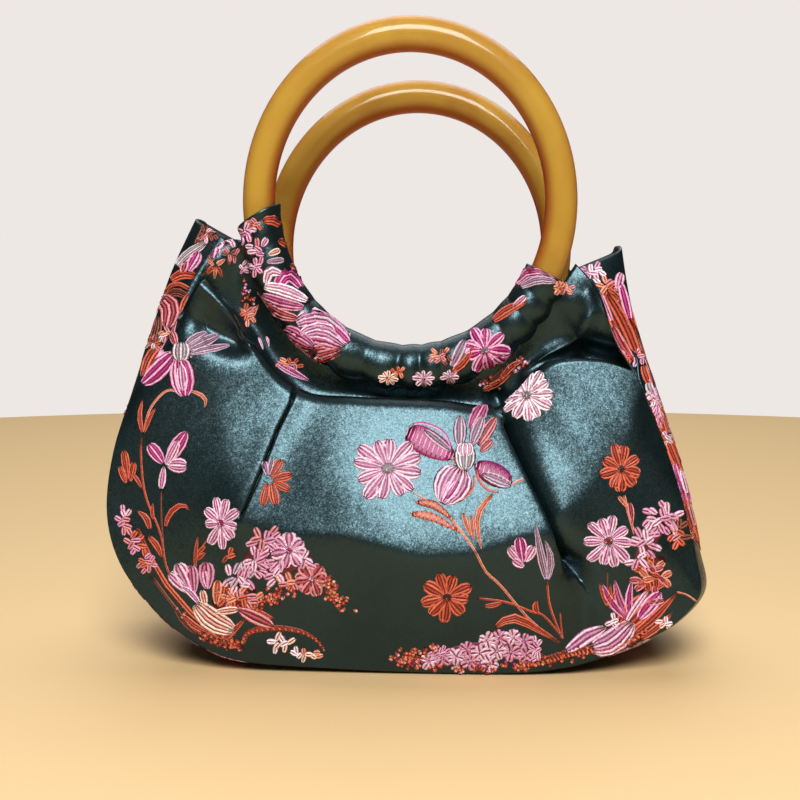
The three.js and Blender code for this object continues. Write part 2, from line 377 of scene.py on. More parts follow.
def pad(route, width, thread="blush", ribs=4, bulk=1.35, blunt=0.55, lift=0.0, hatch=0, sections=9):
    """A pad of deep thread along a route, with bright ribs on it from foot to tip, their sections closer at
    both ends. Hatch 1 lays thin ribs across a brighter pad, and hatch 2 lays full ribs across a deep one."""
    deep, outer, inner = THREADS[thread]
    route = np.array(route, float)
    share = np.linspace(0, 1, sections)
    half = width / 2 * arch(share, bulk, blunt)
    ground = tuple((np.array(deep) + inner) / 2) if hatch == 1 else deep
    made = [stroke(along(route, share), half, ground, PAD_CROWN, lift, PAD_DEPTH, PAD_ACROSS)]
    if hatch:
        share = np.linspace(*HATCH_SPAN, ribs)
        middle = along(route, share)
        reach = (width / 2 * HATCH_REACH * arch(share, bulk, blunt))[:, None] * sideways(middle)
        step = np.gradient(middle, axis=0)
        thick = np.linalg.norm(step, axis=-1) * (THIN_HATCH if hatch == 1 else FULL_HATCH)
        tip = arch(np.linspace(0, 1, HATCH_SECTIONS), 1, 0.4)
        steps = np.linspace(-1, 1, HATCH_SECTIONS)[:, None]
        for k in range(ribs):
            rib = middle[k] + (reach[k] + step[k] * HATCH_SLANT) * steps
            made.append(stroke(rib, thick[k] * tip, outer, RIB_CROWN, lift + HATCH_LIFT, RIB_DEPTH))
        return made
    eased = (1 - np.cos(np.linspace(0, np.pi, RIB_SECTIONS))) / 2
    share = RIB_SPAN[0] + (RIB_SPAN[1] - RIB_SPAN[0]) * eased
    middle, side = along(route, share), sideways(along(route, share))
    full = width / 2 * arch(share, bulk, blunt)
    rim, fill = OVAL_RIM if ribs < 3 else PETAL_RIM
    crown = OVAL_CROWN if ribs < 3 else RIB_CROWN
    for k in range(ribs):
        place = ((2 * k + 1) / ribs - 1) * (1 - rim)
        colour = outer if k in (0, ribs - 1) or k % 2 == 0 else inner
        high = lift + PAD_CROWN * (1 - place**2) * RIB_RIDE
        rib = middle + side * full[:, None] * place
        made.append(stroke(rib, fill * (1 - rim) / ribs * full, colour, crown, high, RIB_DEPTH))
    return made


def petal(start, end, width, thread="blush", ribs=4, bulk=1.35, blunt=0.55, lift=0.0, hatch=0):
    """A straight pad, fullest beyond its middle."""
    return pad([start, end], width, thread, ribs, bulk, blunt, lift, hatch)


def leaf(route, width, thread="rust", ribs=3, bulk=0.8, lift=0.0):
    """A pointed pad."""
    return pad(route, width, thread, ribs, bulk, 0.9, lift)


def stem(route, width, thread="rust"):
    """Two long ribs side by side."""
    share = np.linspace(0, 1, STEM_SECTIONS)
    line = along(np.array(route, float), share)
    half = width / 3 * arch(share, 1, 0.16)
    apart = sideways(line) * width / 4
    _, outer, inner = THREADS[thread]
    return [
        stroke(line - apart, half, outer, RIB_CROWN, 0, STEM_DEPTH),
        stroke(line + apart, half, inner, RIB_CROWN, 0, STEM_DEPTH),
    ]


def daisy(x, y, wide, tall, petals, thread, heart="rust", turn=0, seed=0, ribs=3):
    """A ring of petals round a heart of grains; wide and tall are the flower's half sizes."""
    chance = np.random.default_rng(seed)
    turns = np.radians(turn) + (np.arange(petals) + chance.uniform(-0.2, 0.2, petals)) * 2 * np.pi / petals
    overlap = 1.45
    fullest = 0.62
    width = overlap * 2 * np.pi * min(wide, tall) * fullest / petals
    made = []
    for a in turns:
        heading = np.array([math.cos(a) * wide, math.sin(a) * tall])
        tip = (x, y) + heading * chance.uniform(0.8, 1.04)
        foot = (x, y) + heading * 0.1
        made += petal(foot, tip, width * chance.uniform(0.85, 1.15), thread, ribs, chance.uniform(1.2, 1.7))
    made += pad([(x - wide * 0.2, y), (x + wide * 0.2, y)], tall * 0.36, heart, 0, 1, 0.5, 0.1)
    middle = [(x - wide * 0.1, y), (x + wide * 0.1, y)]
    made += grains(middle, min(wide, tall) * 0.18, 14, 3, [heart, thread], seed)
    return made


def cluster(x, y, wide, tall, size, threads, seed, ribs=2):
    """Small ovals packed evenly over an ellipse, each pointing outwards: on a spiral of golden angles, at
    reaches that grow with the square root of their order."""
    chance = np.random.default_rng(seed)
    golden_angle = 2.39996
    count = max(3, round(math.pi * wide * tall / (OVAL_ROOM * size**2)))
    order = np.arange(count)
    reach = np.sqrt((order + 0.5) / count)
    turns = order * golden_angle + chance.uniform(-0.3, 0.3, count)
    made = []
    for k, far, a in zip(order, reach, turns):
        spot = np.array([x + math.cos(a) * wide * far, y + math.sin(a) * tall * far])
        a = a + chance.uniform(-0.7, 0.7)
        half = np.array([math.cos(a), math.sin(a)]) * size * chance.uniform(0.42, 0.6)
        thread = threads[k % len(threads)]
        ends = [spot - half, spot + half]
        made += pad(ends, size * 0.8, thread, ribs, 1.15, 0.5, 0.3 * (1 - far), sections=7)
    return made


def grains(route, spread, count, size, threads, seed):
    """Tiny ovals scattered along a route."""
    chance = np.random.default_rng(seed)
    spots = along(np.array(route, float), chance.uniform(0, 1, count))
    spots = spots + chance.normal(0, spread / 2, (count, 2))
    turns = chance.uniform(0, np.pi, count)
    steps = np.linspace(-0.5, 0.5, GRAIN_SECTIONS)[:, None] * size
    half = size * 0.32 * arch(np.linspace(0, 1, GRAIN_SECTIONS), 1, 0.5)
    made = []
    for k, (spot, a) in enumerate(zip(spots, turns)):
        colour = THREADS[threads[k % len(threads)]][1 + k // 2 % 2]
        heading = np.array([math.cos(a), math.sin(a)])
        lift = 0.3 if k % 3 == 0 else 0.1
        made.append(stroke(spot + heading * steps, half, colour, RIB_CROWN, lift, STEM_DEPTH))
    return made


def at(grid, u, v):
    """A grid's values at shares u and v, blended from the four points round each place."""
    rows, columns = grid.shape[:2]
    a, b = np.clip(u, 0, 1) * (rows - 1), np.clip(v, 0, 1) * (columns - 1)
    i, j = np.minimum(a.astype(int), rows - 2), np.minimum(b.astype(int), columns - 2)
    a, b = (a - i)[..., None], (b - j)[..., None]
    near = grid[i, j] * (1 - b) + grid[i, j + 1] * b
    far = grid[i + 1, j] * (1 - b) + grid[i + 1, j + 1] * b
    return near * (1 - a) + far * a


def find(cloth, spots):
    """Shares of a cloth whose picture falls on the spots: Newton steps from the nearest grid point seen."""
    every, rounds = 3, 12
    step, longest = 0.006, 0.05
    least_area, out_of_sight = 1e3, 1e9
    picture = to_picture(cloth)
    in_view = ((EYE - cloth) * normals_of(cloth)).sum(-1) > 0
    start = picture[::every, ::every]
    hidden = np.where(in_view[::every, ::every], 0, out_of_sight)
    middle = spots.mean(axis=1)[:, None, None]
    best = (((start - middle) ** 2).sum(-1) + hidden).reshape(len(spots), -1).argmin(axis=1)
    columns = start.shape[1]
    u = np.repeat((best // columns * every / (cloth.shape[0] - 1))[:, None], spots.shape[1], axis=1)
    v = np.repeat((best % columns * every / (cloth.shape[1] - 1))[:, None], spots.shape[1], axis=1)
    for _ in range(rounds):
        low_u, high_u = np.clip(u - step, 0, 1), np.clip(u + step, 0, 1)
        low_v, high_v = np.clip(v - step, 0, 1), np.clip(v + step, 0, 1)
        slope_u = (at(picture, high_u, v) - at(picture, low_u, v)) / (high_u - low_u)[..., None]
        slope_v = (at(picture, u, high_v) - at(picture, u, low_v)) / (high_v - low_v)[..., None]
        miss = spots - at(picture, u, v)
        area = slope_u[..., 0] * slope_v[..., 1] - slope_u[..., 1] * slope_v[..., 0]
        area = np.where(np.abs(area) < least_area, np.copysign(least_area, area), area)
        move_u = (miss[..., 0] * slope_v[..., 1] - miss[..., 1] * slope_v[..., 0]) / area
        move_v = (slope_u[..., 0] * miss[..., 1] - slope_u[..., 1] * miss[..., 0]) / area
        u = np.clip(u + np.clip(move_u, -longest, longest), 0, 1)
        v = np.clip(v + np.clip(move_v, -longest, longest), 0, 1)
    return u, v


def cushions(strokes):
    """Strokes as closed cushions: sections of points over the top and one below, drawn to a point at both
    ends. Gives spots, heights, faces and colours of each group of strokes with equal sections. Each stroke is
    a little lighter or darker than the last, by golden shares of the spread."""
    darkest, spread, golden_share = 0.86, 0.28, 0.618
    groups = []
    for count, wide in sorted({(len(s["line"]), len(s["across"])) for s in strokes}):
        same = [s for s in strokes if (len(s["line"]), len(s["across"])) == (count, wide)]
        line = np.array([s["line"] for s in same])
        half = np.array([s["half"] for s in same])
        crown, lift, depth = np.array([s["rise"] for s in same]).T[..., None]
        across = same[0]["across"]
        heading = np.gradient(line, axis=1)
        heading /= np.linalg.norm(heading, axis=-1, keepdims=True)
        side = np.stack([-heading[..., 1], heading[..., 0]], axis=-1)
        full = np.sqrt(half / half.max(axis=1, keepdims=True))
        inner = slice(1, count - 1)
        top = line[:, :, None] + side[:, :, None] * (half[..., None] * across)[..., None]
        high = (crown * full)[..., None] * (1 - across**2) + lift[..., None] - RIM_SINK
        spots = np.concatenate([top, line[:, :, None]], axis=2)[:, inner].reshape(len(same), -1, 2)
        low = np.repeat(lift - depth, count, axis=1)[..., None]
        high = np.concatenate([high, low], axis=2)[:, inner].reshape(len(same), -1)
        spots = np.concatenate([spots, line[:, [0, -1]]], axis=1)
        high = np.concatenate([high, np.repeat(lift - RIM_SINK, 2, axis=1)], axis=1)
        loops = count - 2
        ring = wide + 1
        quads = grid_faces(loops, ring, wrap_columns=True)
        first, last = np.arange(ring), np.arange(ring) + (loops - 1) * ring
        foot = np.stack([np.roll(first, -1), first, np.full(ring, loops * ring)], axis=-1)
        tip = np.stack([last, np.roll(last, -1), np.full(ring, loops * ring + 1)], axis=-1)
        shift = np.arange(len(same))[:, None, None] * spots.shape[1]
        shade = darkest + spread * (np.arange(len(same)) * golden_share % 1)
        groups.append(
            {
                "spots": spots,
                "heights": high,
                "ring": ring,
                "quads": (quads + shift).reshape(-1, 4),
                "triangles": (np.concatenate([foot, tip]) + shift).reshape(-1, 3),
                "colours": np.array([linear(*s["colour"]) for s in same]) * shade[:, None],
            }
        )
    return groups


THREAD_GRAIN = 1300
THREAD_TONES = (0.6, 1.15)
THREAD_BUMP = 0.2

flower_thread, tree, shader = new_material("woven_flowers")
thread_colour = node(tree, "ShaderNodeAttribute", attribute_name="thread_colour").outputs["Color"]
thread_noise = noise(tree, THREAD_GRAIN, 2.0).outputs["Fac"]
toned = node(
    tree,
    "ShaderNodeVectorMath",
    [(0, thread_colour), ("Scale", ranged(tree, thread_noise, *THREAD_TONES))],
    operation="SCALE",
)
raised = node(
    tree,
    "ShaderNodeBump",
    [("Height", thread_noise)],
    [("Strength", 0.6), ("Distance", THREAD_BUMP * MM)],
)
tree.links.new(toned.outputs[0], shader.inputs["Base Color"])
tree.links.new(raised.outputs["Normal"], shader.inputs["Normal"])
shader.inputs["Roughness"].default_value = 0.45
shader.inputs["Specular IOR Level"].default_value = 0.4


def add_flowers(name, groups, places, points):
    """The cushions of one cloth piece: each point laid on the cloth at its shares, raised along its normal.
    A group's faces are turned round where its top faces would look down."""
    normal = normals_of(points)
    laid, faces, count = [], [], 0
    for group, (u, v) in zip(groups, places):
        up = at(normal, u, v)
        spots = (at(points, u, v) + up * group["heights"][..., None]).reshape(-1, 3)
        corners = spots[group["quads"]]
        turn = np.cross(corners[:, 2] - corners[:, 0], corners[:, 3] - corners[:, 1])
        facing_up = (turn * up.reshape(-1, 3)[group["quads"][:, 0]]).sum(axis=-1)
        on_top = np.arange(len(corners)) % group["ring"] < group["ring"] - 2
        order = 1 if facing_up[on_top].sum() > 0 else -1
        faces += (group["quads"][:, ::order] + count).tolist()
        faces += (group["triangles"][:, ::order] + count).tolist()
        laid.append(spots)
        count += len(spots)
    thing = add_mesh(name, np.concatenate(laid), faces, [flower_thread])
    colours = [np.repeat(group["colours"], group["spots"].shape[1], axis=0) for group in groups]
    thing.data.attributes.new("thread_colour", "FLOAT_VECTOR", "POINT").data.foreach_set(
        "vector", np.concatenate(colours).astype(np.float32).ravel()
    )
    return thing


strip_points = strip_surface(*shares(STRIP_GRID))
strip_cloth = add_cloth("gusset_cloth", strip_points, "gusset")

# Flowers of the strip: those in view at the tabs and the right side, then sprays over the sides and the base.
STRIP_SPRAY_SCALE = 0.38
STRIP_LENGTH = 600
STRIP_WIDTH = 80
STRIP_SPRAYS = 15
SPRAY_SPAN = (0.075, 0.935)
SPRAY_LINES = (0.33, 0.68)
STRIP_IN_VIEW = 0.34

strip_strokes = [
    # Left tab
    *pad([(196, 246), (204, 234), (207, 222)], 14, "brown", 4, 1, 0.4),
    *cluster(208, 234, 10, 8, 7, ["brown", "rose", "blush", "brown"], 3),
    *pad([(176, 266), (188, 254), (206, 243)], 12, "grey", 5, 1, 0.4, 0.1),
    *petal((188, 272), (199, 252), 15, "magenta", 4, lift=0.2),
    *petal((182, 274), (186, 260), 11, "rose", 3, lift=0.1),
    *pad([(170, 280), (182, 274), (196, 276)], 12, "rust", 4, 1, 0.4),
    *stem([(163, 294), (169, 286), (179, 284), (191, 290)], 5),
    *pad([(166, 296), (176, 292), (188, 297)], 10, "brown", 4, 1, 0.4),
    *pad([(160, 297), (170, 308), (167, 328)], 22, "rose", 5, 1, 0.45, 0.2),
    *pad([(184, 320), (184, 306), (190, 294)], 10, "rust", 3, 1, 0.4, 0.1),
    *petal((178, 332), (191, 318), 13, "magenta", 4, lift=0.2),
    *pad([(150, 346), (156, 332), (158, 316)], 12, "brown", 4, 1, 0.4),
    *cluster(168, 334, 9, 7, 7, ["coral", "cream", "rose", "rose"], 34),
    *cluster(156, 344, 10, 9, 7, ["rust", "grey", "brown", "rose"], 35),
    *pad([(143, 378), (150, 358), (162, 344)], 14, "rust", 4, 1, 0.4),
    # Right tab
    *cluster(590, 273, 15, 9, 9, ["blush", "pink", "white"], 5),
    *cluster(607, 287, 11, 9, 9, ["rust", "coral", "rose"], 36),
    *pad([(640, 364), (624, 328), (602, 288)], 34, "rust", 0, 1, 0.25),
    *pad([(640, 362), (626, 326), (606, 292)], 32, "rust", 7, 1, 0.3, 0.1),
    *pad([(630, 320), (625, 300), (620, 280)], 11, "magenta", 3, 1, 0.4, 0.2),
    *petal((617, 290), (622, 272), 11, "blush", 3, lift=0.2),
    *pad([(612, 322), (606, 308), (600, 292)], 8, "pink", 2, 1, 0.4, 0.2),
    *stem([(616, 296), (619, 306), (621, 316)], 2, "white"),
    *stem([(626, 316), (627, 324), (625, 330)], 2, "white"),
    *pad([(632, 360), (620, 344), (612, 326)], 14, "rose", 3, 1, 0.4, 0.2),
    *cluster(638, 356, 8, 8, 8, ["blush", "pink"], 6),
    *cluster(624, 357, 12, 6, 8, ["rust", "rose", "pink"], 37),
    # Right side
    *pad([(645, 364), (652, 384)], 15, "rust", 5, 1, 0.3),
    *pad([(650, 381), (656, 396)], 16, "grey", 5, 1, 0.3),
    *pad([(656, 404), (666, 434)], 18, "rust", 6, 1, 0.3),
    *cluster(655, 401, 8, 7, 7, ["blush", "white", "pink"], 38),
    *pad([(667, 438), (681, 472)], 17, "rust", 6, 1, 0.3),
    *cluster(665, 438, 8, 7, 7, ["white", "rust", "blush"], 39),
    *petal((674, 460), (688, 504), 17, "magenta", 5, lift=0.1),
    *petal((679, 468), (686, 494), 7, "blush", 2, lift=0.35),
    *petal((682, 488), (698, 542), 16, "rust", 5, lift=0.1),
    *petal((687, 500), (694, 526), 6, "rose", 2, lift=0.35),
    # Left foot
    *cluster(120, 536, 5, 20, 8, ["rust", "brown", "rose"], 10),
    *cluster(140, 584, 8, 14, 9, ["brown", "mauve", "rust"], 40),
    *cluster(168, 618, 9, 12, 9, ["mauve", "brown", "grey"], 41),
]


def spray(seed):
    """A loose spray of the same flowers: a daisy, a few petals, leaves on a stem and some grains."""
    chance = np.random.default_rng(seed)
    thread = ("blush", "rust", "pink")[seed % 3]
    turn = chance.uniform(0, 2 * np.pi)
    spin = np.array([[math.cos(turn), math.sin(turn)], [-math.sin(turn), math.cos(turn)]])
    made = daisy(0, 0, 30, 30, 9 + seed % 3, thread, "rust", turn, seed)
    made += stem(np.array([(30, 4), (60, 14), (86, 4)]) @ spin, 2.5)
    made += leaf(np.array([(52, 12), (66, 26), (84, 30)]) @ spin, 9, "coral")
    made += leaf(np.array([(62, 12), (76, 0), (92, -14)]) @ spin, 9)
    made += cluster(*(np.array([-50, 24]) @ spin), 24, 18, 13, ["blush", "pink", "magenta", "rose"], seed)
    made += grains(np.array([(-66, 2), (-40, -14), (-14, -40)]) @ spin, 8, 16, 7, ["rust", "coral"], seed)
    return made


strip_groups = cushions(strip_strokes)
strip_places = [find(strip_points, group["spots"]) for group in strip_groups]
strip_places = [(u, 1 - STRIP_IN_VIEW * np.tanh((1 - v) / STRIP_IN_VIEW)) for u, v in strip_places]
for k in range(STRIP_SPRAYS):
    middle_u = SPRAY_SPAN[0] + (SPRAY_SPAN[1] - SPRAY_SPAN[0]) * k / (STRIP_SPRAYS - 1)
    middle_v = SPRAY_LINES[k % 2]
    for group in cushions(spray(k)):
        offset = group["spots"] * STRIP_SPRAY_SCALE / (STRIP_LENGTH, STRIP_WIDTH)
        strip_groups.append(group)
        strip_places.append((middle_u + offset[..., 0], middle_v + offset[..., 1]))
strip_flowers = add_flowers("gusset_flowers", strip_groups, strip_places, strip_points)


# The panels
# Front and back are one cut of brocade each, gathered into two pleats at the top and sewn to the strip round
# their sides and foot. The cloth swells to a soft fold across the belly, and its top edge is turned in.
# Rows run from left to right: x, y and height of a rib's top, the strip's row at its foot, the ring's angle
# above it in degrees, and how far the belly swells.
RIBS = np.array(
    [
        (-81, -27, 149, 1.7, 186, 2),
        (-66, -29, 135, 3.2, 202, 3.5),
        (-54, -30, 118, 5.2, 222, 4),
        (-42, -30, 107.5, 8.1, 239, 10.5),
        (-23, -31, 106, 9.7, 252, 16),
        (-3, -31, 105, 10.7, 265, 18),
        (15, -31, 104, 11.6, 279, 18),
        (31, -30, 102.5, 13.2, 292, 16.5),
        (41, -30, 108, 14.9, 302, 9.5),
        (54, -30, 120, 17, 312, 5.5),
        (72, -30, 120.5, 18.7, 323, 3.5),
        (86, -31, 116, 19.6, 332, 2),
    ]
)

# Each side: the way it faces, its ring's middle and its lean in degrees, how much lower its middle hangs, and
# the ring's angles between which its sleeve lies.
SIDES = {
    "front": {"sign": -1, "ring": (0, -20.5, 180.5), "lean": 2.3, "drop": 0, "sleeve": (183.5, 335)},
    "back": {"sign": 1, "ring": (2, 20.5, 165.3), "lean": 4.6, "drop": 13, "sleeve": (196, 335)},
}
PANEL_GRID = (251, 131)
PLEAT_PLACES = ((0.27, 0.035), (0.68, 0.06))
PLEAT_CROWDING = 2.0
BELLY_SHARPNESS = 1.15

# Crease of the belly across the panel: share of its width, share of its height, how rounded the crease is.
BELLY_CREASE = np.array(
    [
        (0, 0.72, 0.05),
        (0.1, 0.7, 0.05),
        (0.19, 0.69, 0.06),
        (0.225, 0.61, 0.05),
        (0.25, 0.54, 0.02),
        (0.27, 0.51, 0.001),
        (0.4, 0.52, 0.001),
        (0.5, 0.46, 0.001),
        (0.55, 0.47, 0.001),
        (0.6, 0.525, 0.001),
        (0.7, 0.57, 0.002),
        (0.78, 0.59, 0.004),
        (0.86, 0.49, 0.006),
        (1, 0.45, 0.006),
    ]
)
SEAM_STEP = 0.4
EDGE_TURN = 0.035
EDGE_DEPTH = 2.4
EDGE_DENT = 2.0
DENT_GROWTH = 120
DROP_SPREAD = 0.7
FOLD_FADE = 0.08

# Slow waves over the cloth: length across, length up, and where each starts.
RIPPLES = ((9, 17, 0), (14, -8, 2), (23, 11, 4))
RIPPLE_HEIGHT = 0.35

# Folds of the panel seen from the front: route in pixels, half width in pixels or a pair for the left and the
# right of the route, height, and how rounded.
RIGHT_PLEAT = [(500, 424), (507, 440), (525, 478), (542, 512), (553, 540), (572, 568)]
PANEL_FOLDS = {
    "left pleat edge": ([(297, 389), (273, 430), (253, 480), (238, 518)], 16, 1.8, 1.4),
    "left pleat slit": ([(296, 388), (275, 430), (255, 480), (239, 516)], 1.7, -4, 1),
    "left hollow": ([(204, 324), (222, 333), (237, 338)], 16, -6, 2),
    "left top fold": ([(199, 284), (216, 302), (236, 323), (249, 345)], 5, 3.2, 1.3),
    "middle dent": ([(318, 520), (350, 534)], 34, -1.2, 2),
    "right pleat": (RIGHT_PLEAT, (3, 12), -10, 1),
    "right pleat foot": ([(578, 568), (584, 600), (584, 632)], 14, -3, 2),
}

# Cloth left of a pleat laps over it: how far left of the groove the lap is strongest and how wide it is, in
# pixels, and how far it reaches over. It fades out towards the top edge and towards its foot.
PLEAT_LAPS = {"left pleat slit": (4, 5, 2.0), "right pleat": (10, 9, 4.5)}
LAP_TOP_FADE = 0.06
LAP_FOOT = 0.36
LAP_FOOT_FADE = 0.14

